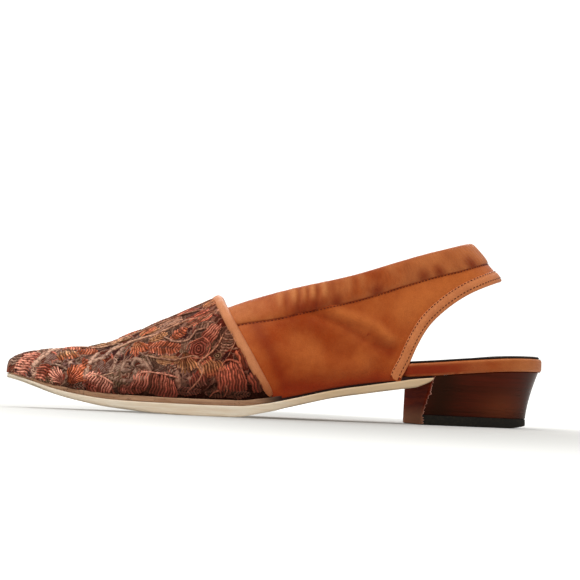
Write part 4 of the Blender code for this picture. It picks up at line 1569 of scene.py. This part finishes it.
def make_heel():
    floor = LIFT + TOUCH
    cap, round_off = 2.5 * MM, 0.35 * MM
    rings = [heel_ring(0.0, lambda s: floor + 0 * s, shrink) for shrink in (cap, round_off)]
    for level in np.linspace(0.02, 0.98, 34):
        rings.append(heel_ring(level, lambda s, t=level: floor + (feather(s) - floor) * t))
    rings += [heel_ring(1.0, feather, shrink) for shrink in (round_off, cap)]
    kept(stacked("stacked_heel", rings, heel_marks), HEEL_STACK, "heel")


def make_lift():
    """The rubber under the heel, worn away at the back."""
    def up(part):
        return lambda s: LIFT_WEAR * worn_share(s) * (1 - part) + LIFT * part
    cap, foot_round, top_round = 3 * MM, 0.3 * MM, 0.2 * MM
    rings = [heel_ring(0.0, up(0.0), shrink) for shrink in (cap, foot_round)]
    rings += [heel_ring(0.0, up(part)) for part in (0.12, 0.5, 0.88)]
    rings += [heel_ring(0.0, up(1.0), shrink) for shrink in (top_round, cap)]
    kept(stacked("rubber_top_piece", rings), RUBBER, "top_lift")


def make_breast_cover():
    """The leather drawn over the heel's front, cut off raggedly round its outer corner."""
    dice = np.random.default_rng(5)
    rows, before, aside, turned = 90, 0.25 * MM, 0.28 * MM, 0.15 * MM
    z = np.linspace(0.3 * MM, feather(BREAST) - 0.2 * MM, rows)
    level = np.clip((z - LIFT) / (feather(BREAST) - LIFT), 0, 1)
    front = LENGTH / 2 - HEEL_LENGTH - HEEL_FRONT_RAKE * (1 - level) - before
    low = HEEL_FOOT_WIDTH / 2
    outer, inner = [low + (top - low) * level for top in half_widths(BREAST, HEEL_TOP_INSET)]
    ragged = np.convolve(dice.standard_normal(rows + 2), (0.3, 0.5, 0.3), "valid")
    torn = 0.9 * MM + 0.6 * MM * ragged
    c = np.linspace(1, -1, 25)
    y = np.where(c < 0, c * outer[:, None], c * inner[:, None])
    x = front[:, None] + HEEL_HOLLOW * (1 - c ** 2)
    wrap = np.array([0.0, 0.4, 0.8, 1.0])
    outer_x = front[:, None] + turned + torn[:, None] * wrap
    inner_x = front[:, None] + turned + 1.2 * MM * wrap[::-1]
    outer_y = -outer[:, None] - aside + 0 * outer_x
    inner_y = inner[:, None] + aside + 0 * inner_x
    x, y = np.concatenate([inner_x, x, outer_x], 1), np.concatenate([inner_y, y, outer_y], 1)
    pale = np.zeros(x.shape)
    pale[:, -3:] = (0.0, 0.6, 1.0)
    piece = laid("breast_cover", np.stack([x, y, z[:, None] + 0 * x], -1), pale=pale)
    kept(thickened(piece, 0.2 * MM), BREAST_LEATHER, "heel")


# Embroidery: threads laid over the darned ground, in millimetres from the toe and from the ridge

SALMON = (226, 148, 124)
ROSE = (206, 112, 88)
RUST = (178, 84, 48)
ORANGE = (206, 102, 60)
OCHRE = (190, 132, 84)
TAN = (190, 140, 112)
TAUPE = (166, 128, 109)
GREY = (132, 103, 89)
OLIVE = (116, 94, 70)
PLUM = (98, 62, 60)
BLOOD = (140, 42, 28)
SOOT = (46, 18, 14)
FOOT_THREADS = (SOOT, PLUM, BLOOD)
GROUND_THREADS = (TAUPE, PLUM, RUST, GREY, OLIVE, ROSE, GREY, BLOOD)

MOTIFS = [
    # kind, from the toe, part of the way down, length, width, heading, thread, second thread
    ("plume", 9.8, 0.60, 8.0, 14.0, 155, SALMON, BLOOD),
    ("leaf", 5.0, 0.42, 7.0, 4.5, 60, GREY, TAUPE),
    ("plume", 17.7, 0.80, 6.4, 8.6, 168, ROSE, BLOOD),
    ("patch", 21.3, 0.53, 8.0, 7.0, 37, PLUM, TAUPE),
    ("fan", 24.6, 0.86, 9.4, 9.6, 140, SALMON, BLOOD),
    ("plume", 28.5, 0.38, 6.5, 10.0, 100, OCHRE, RUST),
    ("plume", 38.0, 0.31, 5.5, 11.0, 80, ORANGE, RUST),
    ("flower", 30.0, 0.60, 7.0, 6.6, 16, PLUM, TAUPE),
    ("fan", 33.5, 0.80, 12.5, 12.5, 55, ORANGE, BLOOD),
    ("leaf", 37.5, 0.62, 7.0, 4.4, -60, RUST, SALMON),
    ("patch", 45.4, 0.69, 7.6, 7.6, 43, PLUM, TAUPE),
    ("plume", 45.0, 0.88, 7.2, 15.0, 60, SALMON, BLOOD),
    ("leaf", 52.5, 0.87, 12.5, 5.2, -28, OLIVE, TAN),
    ("fan", 61.5, 0.50, 9.6, 9.4, -75, ORANGE, OCHRE),
    ("leaf", 73.0, 0.58, 17.0, 8.6, -20, RUST, SALMON),
    ("leaf", 70.5, 0.44, 9.0, 5.0, 14, OCHRE, GREY),
    ("leaf", 79.5, 0.47, 9.0, 6.8, 30, ORANGE, BLOOD),
    ("patch", 82.0, 0.62, 7.0, 5.6, 90, OLIVE, GREY),
    ("round", 88.6, 0.66, 10.4, 9.4, 63, BLOOD, ROSE),
    ("plume", 96.0, 0.55, 9.0, 8.4, 40, SALMON, BLOOD),
    ("fan", 83.5, 0.745, 11.5, 10.5, -80, OCHRE, RUST),
    ("curl", 60.0, 0.74, 11.5, 9.4, 19, TAUPE, GREY),
    ("plume", 70.5, 0.885, 9.5, 23.0, 72, ROSE, BLOOD),
    ("flower", 85.0, 0.865, 6.6, 6.0, 0, PLUM, TAUPE),
    ("plume", 95.0, 0.80, 8.5, 12.0, 95, OCHRE, RUST),
    ("round", 97.6, 0.735, 4.4, 4.0, 0, OLIVE, SOOT),
    ("plume", 104.5, 0.87, 14.0, 14.0, 88, ROSE, BLOOD),
    ("leaf", 101.8, 0.66, 13.0, 6.4, 68, TAUPE, TAN),
    ("comb", 89.6, 0.35, 13.0, 9.0, 18, ROSE, TAN),
    ("comb", 66.0, 0.27, 9.0, 6.0, 16, ORANGE, OCHRE),
    ("comb", 83.0, 0.13, 11.0, 8.0, 8, ROSE, BLOOD),
    ("comb", 97.0, 0.17, 12.0, 9.0, 8, OCHRE, TAN),
    ("comb", 76.0, 0.27, 12.0, 7.0, 10, TAUPE, TAN),
    ("comb", 53.0, 0.24, 10.0, 5.0, 10, TAN, OCHRE),
    ("leaf", 34.0, 0.955, 8.0, 3.6, 12, SOOT, BLOOD),
    ("leaf", 44.5, 0.20, 10.0, 6.5, 20, OCHRE, TAUPE),
    ("leaf", 57.5, 0.07, 11.0, 7.0, -12, RUST, OCHRE),
    ("leaf", 18.0, 0.20, 9.0, 6.0, 15, TAUPE, OLIVE),
    ("leaf", 30.5, 0.12, 9.0, 6.0, -14, ROSE, OCHRE),
    ("leaf", 71.0, 0.05, 11.0, 7.5, 12, RUST, SALMON),
    ("leaf", 91.5, 0.46, 10.0, 5.4, -20, GREY, TAN),
    ("plume", 110.5, 0.76, 12.0, 8.0, 98, RUST, BLOOD),
    ("plume", 116.5, 0.90, 12.0, 9.0, 104, ROSE, BLOOD),
    ("leaf", 103.5, 0.42, 10.0, 5.8, 62, OLIVE, TAN),
    ("leaf", 42.0, 0.06, 9.0, 6.0, -20, OLIVE, OCHRE),
    ("leaf", 60.0, 0.945, 12.0, 4.6, 2, BLOOD, ROSE),
    ("leaf", 84.0, 0.955, 13.0, 4.4, 2, PLUM, ROSE),
    ("leaf", 98.0, 0.965, 13.0, 4.4, 4, SOOT, PLUM),
    ("leaf", 20.5, 0.95, 8.0, 3.6, 8, OLIVE, SALMON),
    ("leaf", 12.0, 0.90, 8.0, 4.6, 50, PLUM, TAUPE),
    ("leaf", 52.0, 0.60, 7.0, 4.0, 70, PLUM, ROSE),
    ("leaf", 77.0, 0.79, 8.0, 4.0, -50, GREY, ROSE),
    ("leaf", 91.0, 0.76, 7.0, 4.0, 30, ROSE, OCHRE),
    ("leaf", 108.5, 0.56, 9.0, 5.0, 80, BLOOD, ROSE),
    ("leaf", 46.5, 0.50, 7.0, 3.6, 20, PLUM, GREY),
    ("fan", 55.5, 0.955, 6.0, 6.0, 95, BLOOD, SALMON),
    ("leaf", 66.0, 0.66, 9.0, 4.6, -10, OLIVE, TAUPE),
    ("leaf", 40.5, 0.945, 8.0, 5.0, -16, BLOOD, ROSE),
    ("leaf", 107.0, 0.975, 12.0, 3.8, 2, SOOT, PLUM),
    ("patch", 75.0, 0.71, 13.0, 5.6, -12, OCHRE, TAN),
    ("patch", 51.5, 0.71, 5.5, 5.0, 20, TAUPE, GREY),
    ("patch", 13.5, 0.72, 5.0, 7.0, 10, OLIVE, GREY),
    ("patch", 83.0, 0.60, 7.5, 6.0, 80, GREY, TAUPE),
    ("flower", 98.5, 0.36, 6.0, 5.0, 30, TAUPE, TAN),
    ("plume", 89.0, 0.87, 7.0, 9.0, 100, BLOOD, PLUM),
]

VINES = [
    # thread, width, points as from the toe and part of the way down
    (TAUPE, 3.2, [(14.4, 0.95), (13.4, 0.72), (14.9, 0.58), (17.7, 0.39), (21.4, 0.18), (27.0, 0.08)]),
    (TAUPE, 2.5, [(37.6, 0.89), (37.8, 0.79), (38.8, 0.65), (40.4, 0.52), (43.5, 0.39)]),
    (TAUPE, 2.5, [(39.6, 0.58), (45.6, 0.52), (49.1, 0.42), (54.6, 0.34)]),
    (TAUPE, 2.7, [(49.2, 0.77), (51.2, 0.63), (52.0, 0.53), (55.1, 0.43)]),
    (TAN, 1.6, [(46.0, 0.46), (52.8, 0.40), (58.3, 0.37), (66.3, 0.38), (69.5, 0.39), (74.0, 0.36),
                (82.3, 0.33), (93.7, 0.38)]),
    (TAN, 1.3, [(27.0, 0.10), (35.0, 0.17), (44.0, 0.30), (53.0, 0.33)]),
    (TAN, 1.2, [(58.0, 0.24), (68.0, 0.20), (79.0, 0.19), (91.0, 0.25)]),
    (TAN, 1.0, [(64.0, 0.14), (76.0, 0.12), (88.0, 0.07), (98.0, 0.05)]),
    (TAUPE, 2.2, [(80.6, 0.94), (79.7, 0.87), (78.9, 0.80)]),
    (TAN, 1.4, [(83.8, 0.97), (89.3, 0.88), (90.5, 0.83), (88.7, 0.77), (93.1, 0.72), (97.2, 0.67),
                (100.1, 0.59)]),
    (TAN, 1.0, [(94.0, 0.99), (96.2, 0.96), (98.9, 0.95)]),
    (TAN, 0.9, [(100.5, 0.99), (102.0, 0.95), (101.0, 0.92)]),
    (TAUPE, 2.0, [(53.7, 0.75), (55.8, 0.66), (59.4, 0.64), (64.1, 0.69), (66.9, 0.78), (65.6, 0.85),
                  (61.5, 0.83), (59.6, 0.76)]),
    (GREY, 1.6, [(46.0, 0.78), (50.0, 0.83), (57.0, 0.87), (63.0, 0.86)]),
    (TAN, 1.1, [(64.0, 0.62), (72.0, 0.69), (79.0, 0.72), (86.0, 0.71), (91.0, 0.76)]),
    (GREY, 1.3, [(65.0, 0.62), (66.5, 0.70), (68.5, 0.78)]),
    (TAUPE, 1.3, [(73.0, 0.46), (78.0, 0.55), (84.0, 0.57), (88.0, 0.50), (92.0, 0.50)]),
    (GREY, 1.3, [(22.0, 0.64), (26.5, 0.68), (29.5, 0.74)]),
    (TAN, 1.0, [(40.5, 0.80), (46.5, 0.80), (51.0, 0.77)]),
    (TAN, 0.9, [(102.0, 0.76), (107.0, 0.62), (108.0, 0.50)]),
    (SALMON, 0.9, [(38.5, 0.84), (41.0, 0.78), (46.0, 0.82), (51.0, 0.90)]),
    (SALMON, 0.9, [(59.0, 0.93), (63.0, 0.80), (72.0, 0.82), (80.0, 0.86)]),
    (ROSE, 0.9, [(83.0, 0.66), (85.0, 0.60), (90.0, 0.58), (94.0, 0.66), (91.0, 0.74), (85.0, 0.72)]),
    (ROSE, 1.0, [(99.0, 0.97), (98.0, 0.86), (101.0, 0.78), (106.0, 0.80), (110.0, 0.90)]),
]

GIRTH_ROWS = np.linspace(TOE_CAP, 0.48, 140)
GIRTH_STEPS = 120
RIB = 1.35                   # mm from one stitch to the next
RELIEF = 1.3                 # how much the padding lifts each motif
FILLERS = 320                # small loose stitches on each side


def girth_tables():
    """For each side of the vamp: how far down from the ridge each part lies, and the reverse."""
    part = np.linspace(0, 1, 161)
    even = np.linspace(0, 1, GIRTH_STEPS + 1)
    tables = {}
    for side in (-1, 1):
        points = raised("over", GIRTH_ROWS[:, None], side * part[None, :], np.float64(CLOTH_TOP))
        run = np.cumsum(step_lengths(points, 1), axis=1) / MM
        run = np.concatenate([np.zeros((len(run), 1)), run], 1)
        tables[side] = (run, np.stack([np.interp(even * row[-1], row, part) for row in run]))
    return tables


GIRTHS = girth_tables()
EDGE_PARTS = np.linspace(-1, 1, 121)
EDGE_SHARES = vamp_share(EDGE_PARTS, THREADS_END)


def girth_row(at):
    row = (at * MM / LENGTH - GIRTH_ROWS[0]) / (GIRTH_ROWS[1] - GIRTH_ROWS[0])
    return np.clip(row, 0, len(GIRTH_ROWS) - 1.001)


def read(table, row, share):
    """The table's value between its rows, and between its columns at a share of their way."""
    column = np.clip(share, 0, 0.9999) * (table.shape[1] - 1)
    low, left = np.asarray(row).astype(int), np.asarray(column).astype(int)
    over, blend = column - left, row - low
    near = table[low, left] * (1 - over) + table[low, left + 1] * over
    far = table[low + 1, left] * (1 - over) + table[low + 1, left + 1] * over
    return near * (1 - blend) + far * blend


def level_of(at, part, side):
    """Millimetres above the ridge, so below nought, of a part of the way down."""
    return -read(GIRTHS[side][0], girth_row(at), part)


def on_vamp(at, level, side):
    """Share and part of places given in millimetres on one side; past the ridge they carry on
    down the other."""
    row = girth_row(at)
    low = row.astype(int)
    part = np.zeros(np.shape(at))
    for way, (run, back) in GIRTHS.items():
        whole = run[low, -1] * (1 - (row - low)) + run[low + 1, -1] * (row - low)
        here = (level < 0) == (way == side)
        part = np.where(here, way * read(back, row, np.abs(level) / whole), part)
    edge = np.interp(part, EDGE_PARTS, EDGE_SHARES)
    return np.clip(at * MM / LENGTH, 0.0005, edge), part


def dimmed(at, part):
    """The work is paler at the toe, redder near the piping, and dark along the sole, partly painted
    shade where the vamp turns down to it.
    """
    front = 1 + 0.50 * (1 - soft(at, 22, 60))[..., None] * np.array([1, 1, 1, 0])
    rear = soft(at, 50, 105)[..., None] * np.array([0.04, 0.32, 0.42, 0])
    low = soft(np.abs(part), 0.80, 1.0) * soft(at, 20, 60)
    return front * (1 - rear) * (1 - low[..., None] * np.array([0.60, 0.78, 0.78, 0]))


def stitched(name, at, level, side, height, colour, u, v):
    """Thread work at its place on the vamp; height is in millimetres over the cloth."""
    if side > 0:
        at, level, height, colour, u, v = [grid[:, ::-1] for grid in (at, level, height, colour, u, v)]
    share, part = on_vamp(at, level, side)
    points = raised("over", share, part, CLOTH_TOP + height * MM)
    return laid(name, points, lengths=(u * MM, v * MM), thread=colour * dimmed(at, part))


def thread_colour(first, second, share_of_second, light, dice):
    """Mixes two threads, paints shade into the hollows between stitches and a highlight on their
    crests, and varies each piece a little.
    """
    one, two, glint = [np.array(rgb(*tone)) for tone in (first, second, (240, 205, 180))]
    mixed = one + (two - one) * share_of_second[..., None]
    shade = light[..., None] ** 1.75 * (1.30 + 0.35 * dice.random())
    crest = 0.22 * soft(light, 0.82, 1.1)[..., None]
    lit = mixed[..., :3] * shade * (1 - crest) + glint[:3] * crest
    return np.concatenate([lit, np.ones(light.shape + (1,))], -1)


# The shapes of motifs. Each gives, over a grid of points: how far along and across, in
# millimetres, how high, how much of the second thread, and how lit, as painted light and shade.

def stitch_wave(t, count, dice, sway=0.0):
    """Stitches side by side: how high the thread stands, and how much longer and lighter or
    darker each one is than the next."""
    which = np.clip((t * count).astype(int), 0, count - 1)
    longer, tone = dice.standard_normal(count)[which], dice.standard_normal(count)[which]
    return np.abs(np.sin(math.pi * (count * t + sway))), longer, 1 + 0.22 * tone


def arched(t, low, power):
    """A rise from one end of a stitch and a fall to the other."""
    return np.sin(math.pi * np.clip(t, low, 0.97)) ** power


def stitch_grid(steps, count, low=0.0):
    """Shares of the way along each stitch, and from the first stitch to the last."""
    return np.linspace(low, 1, steps)[:, None], np.linspace(0, 1, count * 5 + 1)[None, :]


def leaf_shape(length, width, dice):
    """Ribs swept from a sunk midrib to a toothed edge."""
    count = max(4, round(length / RIB))
    t = np.linspace(0, 1, count * 5 + 1)[:, None]
    c = np.linspace(-1, 1, 15)[None, :]
    wave, longer, tone = stitch_wave(t, count, dice, 0.14 * np.sin(4 * c + 6 * dice.random()))
    half = width / 2 * np.sin(math.pi * t ** 0.85) ** 0.6
    half = half * (0.88 + 0.14 * wave + 0.05 * longer)
    u = (t - 0.5) * length + (np.abs(c) ** 1.3) * half * 0.45
    crown = (1 - np.abs(c) ** 3.5) * (0.6 + 0.4 * np.sin(math.pi * t) ** 0.5)
    midrib = np.exp(-(c / 0.12) ** 2)
    rim = soft(np.abs(c), 0.74, 0.88)
    height = crown * (0.25 + 0.62 * wave) + 0.14 * rim - 0.3 * midrib * crown - 0.24
    second = np.clip(0.8 * midrib + 0.7 * rim, 0, 1) * wave
    # The light is a painted highlight on each rib, with painted shade between the ribs and in the sunk
    # midrib.
    return u, c * half, height, second, (0.20 + 0.86 * wave) * (1 - 0.4 * midrib) * tone


def fan_shape(length, width, dice):
    """Stitches that spread from one point to a scalloped rim."""
    count = max(5, round(width * 1.1 / RIB))
    sweep = 2.0 * math.atan(width / 2 / (0.60 * length))
    r, a = stitch_grid(13, count, 0.1)
    wave, longer, tone = stitch_wave(a, count, dice, 0.12 * np.sin(6 * r + 6 * dice.random()))
    reach = length * (0.86 + 0.14 * wave + 0.05 * longer) * (1 - 0.28 * (2 * a - 1) ** 2)
    u = reach * r * np.cos((a - 0.5) * sweep) - length / 2
    v = reach * r * np.sin((a - 0.5) * sweep)
    height = arched(r, 0.06, 0.5) * (1 - 0.25 * r) * (0.22 + 0.75 * wave) - 0.2
    second = soft(r, 0.0, 0.45) * (1 - soft(r, 0.35, 0.75)) * 0.7 + 0 * a
    return u, v, height, second, (0.20 + 0.86 * wave) * (0.7 + 0.3 * soft(r, 0.1, 0.5)) * tone


def comb_shape(length, width, dice):
    """Loose stitches side by side, each as long as the motif."""
    count = max(4, round(width / 1.05))
    t, c = stitch_grid(22, count)
    wave, longer, tone = stitch_wave(c, count, dice, 0.2 * np.sin(5 * t))
    u = (t - 0.5) * length * (1 + 0.14 * longer)
    v = (c - 0.5) * width + 0.45 * np.sin(t * 6 + c * 9)
    height = np.sin(math.pi * t) ** 0.4 * (0.1 + 0.65 * wave) - 0.2
    return u, v, height, (longer > 0.1) * 0.9 + 0 * t, (0.2 + 0.86 * wave) * tone + 0 * t


def plume_shape(length, width, dice):
    """Half a leaf: curved stitches that rise from a low base line to uneven pale tips."""
    count = max(5, round(width / RIB))
    t, c = stitch_grid(16, count)
    wave, longer, tone = stitch_wave(c, count, dice, 0.15 * np.sin(5 * t + 6 * dice.random()))
    arch = np.sin(math.pi * (0.06 + 0.88 * c))
    reach = length * (0.35 + 0.65 * arch ** 0.6) * (0.93 + 0.06 * longer + 0.05 * wave)
    u = -length / 2 - 0.12 * length * arch + reach * t * 1.1
    v = (c - 0.5) * width * (1 - 0.12 * t) + 0.16 * length * t ** 2
    height = arched(t, 0.04, 0.5) * (0.2 + 0.75 * wave) - 0.22
    return u, v, height, 0.9 * (1 - soft(t, 0.1, 0.6)) + 0 * c, (0.18 + 0.88 * wave) * tone


def disc_grid(length, width, rings, steps):
    """Ring and angle at each point of a disc, and its place."""
    r = np.linspace(0.02, 1, rings)[:, None]
    a = np.linspace(0, 2 * math.pi, steps)[None, :]
    return r, a, length / 2 * r * np.cos(a), width / 2 * r * np.sin(a)


def round_shape(length, width, dice):
    """Rings of stitches about a small eye, with teeth round the rim."""
    r, a, u, v = disc_grid(length, width, 24, 61)
    count = max(2, round(length / 2 / RIB))
    wave = np.abs(np.sin(math.pi * count * r + 0.8 * np.sin(a + dice.random() * 6)))
    teeth = np.abs(np.sin(a * 8))
    rim = 1 + 0.07 * teeth + 0.07 * np.sin(2 * a + 1)
    height = (1 - r ** 5) * (0.25 + 0.6 * wave) - 0.2
    second = soft(r, 0.7, 0.95) * teeth * 0.9
    return u * rim, v * rim, height, second, 0.22 + 0.84 * np.maximum(wave, second)


def flower_shape(length, width, dice):
    """Petals about a raised button."""
    r, a, u, v = disc_grid(length, width, 18, 51)
    petals = np.abs(np.sin(2.5 * a))
    rim = 0.8 + 0.28 * petals
    button = np.exp(-(r / 0.36) ** 4)
    height = 0.6 * button + (1 - r ** 4) * (0.15 + 0.35 * petals) * (1 - button) - 0.2
    light = 0.35 + 0.6 * petals * (1 - button) + 0.7 * button
    return u * rim, v * rim, height, button + 0 * a, light


def patch_shape(length, width, dice):
    """A flat filled cell of darning."""
    r, a, u, v = disc_grid(length, width, 12, 37)
    rim = 1 + 0.08 * np.sin(3 * a + dice.random() * 6)
    wave = np.abs(np.sin(math.pi * v / 0.9))
    height = (1 - r ** 6) * (0.14 + 0.14 * wave) - 0.1
    return u * rim, v * rim, height, 0.35 * wave, 0.5 + 0.5 * wave


def curl_shape(length, width, dice):
    """A frilled flower: wide soft folds round a hollow."""
    r, a, u, v = disc_grid(length, width, 20, 61)
    frill = np.sin(4 * a + 3 * r)
    rim = 0.88 + 0.16 * np.sin(4 * a + 3)
    height = arched(r, 0.1, 0.6) * (0.45 + 0.4 * frill) - 0.15
    return u * rim, v * rim, height, soft(frill, -0.2, 0.9) * 0.5, 0.6 + 0.38 * frill


SHAPES = {"leaf": leaf_shape, "fan": fan_shape, "round": round_shape, "flower": flower_shape,
          "patch": patch_shape, "comb": comb_shape, "plume": plume_shape, "curl": curl_shape}


def motif(kind, at, part, length, width, heading, first, second, side, dice):
    u, v, height, share_of_second, light = SHAPES[kind](length, width, dice)
    turn = math.radians(heading)
    phase = 6 * dice.random()
    u, v = u + 0.2 * np.sin(1.9 * v + phase), v + 0.22 * np.sin(1.3 * u + phase)
    along_at = at + u * math.cos(turn) - v * math.sin(turn)
    level = level_of(along_at, part, side) + u * math.sin(turn) + v * math.cos(turn)
    colour = thread_colour(first, second, share_of_second, light, dice)
    return stitched(kind, along_at, level, side, height * RELIEF, colour, u, v)


def cord(thread, width, points, side, dice):
    """A thick thread couched down along a path; a thin one lies over the other work."""
    rise, sink, fullness = (0.8, 0.2, 0.6) if width > 1.5 else (0.5, -0.45, 0.42)
    stops = [(i, at, level_of(at, part, side)) for i, (at, part) in enumerate(points)]
    rough = np.linspace(0, len(stops) - 1, 12 * len(stops))
    at, level = along(stops, 1)(rough), along(stops, 2)(rough)
    run = summed(np.hypot(np.diff(at), np.diff(level)))
    even = np.linspace(0, run[-1], max(8, round(run[-1] / 0.42)))
    at, level = np.interp(even, run, at), np.interp(even, run, level)
    ahead_at, ahead_level = np.gradient(at), np.gradient(level)
    step = np.hypot(ahead_at, ahead_level)[:, None]
    c = np.linspace(-1, 1, 9)[None, :]
    taper = (1 - np.abs(2 * (even / run[-1])[:, None] - 1) ** 9) ** 0.5
    knots = np.abs(np.sin(even[:, None] * math.pi / 1.7 + c * 1.1))
    wander = 0.22 * np.sin(even * 1.1 + 6 * dice.random())[:, None]
    half = width * fullness * taper * (0.9 + 0.12 * knots + 0.8 * wander)
    wide_at = at[:, None] - ahead_level[:, None] / step * c * half
    wide_level = level[:, None] + ahead_at[:, None] / step * c * half
    roll = np.sqrt(1 - c ** 2)
    height = rise * roll * (0.88 + 0.12 * knots) * taper - sink
    # Painted shading round the cord: lit along its top, dark at its sides.
    light = 0.38 + 0.68 * roll * (0.82 + 0.18 * knots)
    colour = thread_colour(thread, TAN, 0.25 * knots * (1 - c ** 2), light, dice)
    return stitched("cord", wide_at, wide_level, side, height, colour, even[:, None] + 0 * c,
                    c * half)


def filler(side, dice):
    """A small loose stitch on the ground between the motifs."""
    at = 6 + 116 * dice.random()
    part = 0.02 + 0.96 * dice.random()
    turn = dice.random() * 2 * math.pi
    bend = (dice.random() - 0.5) * 5.0
    length = 2.5 + 3.5 * dice.random()
    t = np.linspace(0, 1, 9)[:, None]
    c = np.linspace(-1, 1, 5)[None, :]
    heading = turn + bend * (t - 0.5)
    half = (0.35 + 0.35 * dice.random()) * np.sin(math.pi * np.clip(t, 0.04, 0.96)) ** 0.4
    wide_at = at + np.cumsum(np.cos(heading) * length / 8, axis=0) - np.sin(heading) * c * half
    wide_level = (level_of(at, part, side) + np.cumsum(np.sin(heading) * length / 8, axis=0)
                  + np.cos(heading) * c * half)
    roll = np.sqrt(1 - c ** 2) + 0 * t
    picks = FOOT_THREADS if part > 0.88 else GROUND_THREADS
    pick = picks[int(dice.random() * len(picks))]
    # Painted shading: lit along the middle of the stitch, dark at its sides.
    colour = thread_colour(pick, pick, 0 * roll, 0.3 + 0.6 * roll, dice)
    return stitched("filler", wide_at, wide_level, side, 0.34 * roll - 0.1, colour,
                    length * t + 0 * c, c * half)


def make_embroidery():
    for side, place, seed in ((-1, "outer", 11), (1, "inner", 23)):
        dice = np.random.default_rng(seed)
        motifs = [motif(*row, side, dice) for row in MOTIFS]
        kept(joined(motifs, "embroidered_leaves_" + place), THREAD, "vamp_cover")
        cords = [cord(*row, side, dice) for row in VINES]
        cords += [filler(side, dice) for _ in range(FILLERS)]
        kept(joined(cords, "embroidered_vines_" + place), THREAD, "vamp_cover")


set_camera()
set_light()
set_stage()
make_vamp_wall()
make_quarters()
make_vamp_cloth()
make_embroidery()
make_piping()
make_band()
make_facing()
make_outsole()
make_rand()
make_seat()
make_sock()
make_heel()
make_breast_cover()
make_lift()
make_stitches()
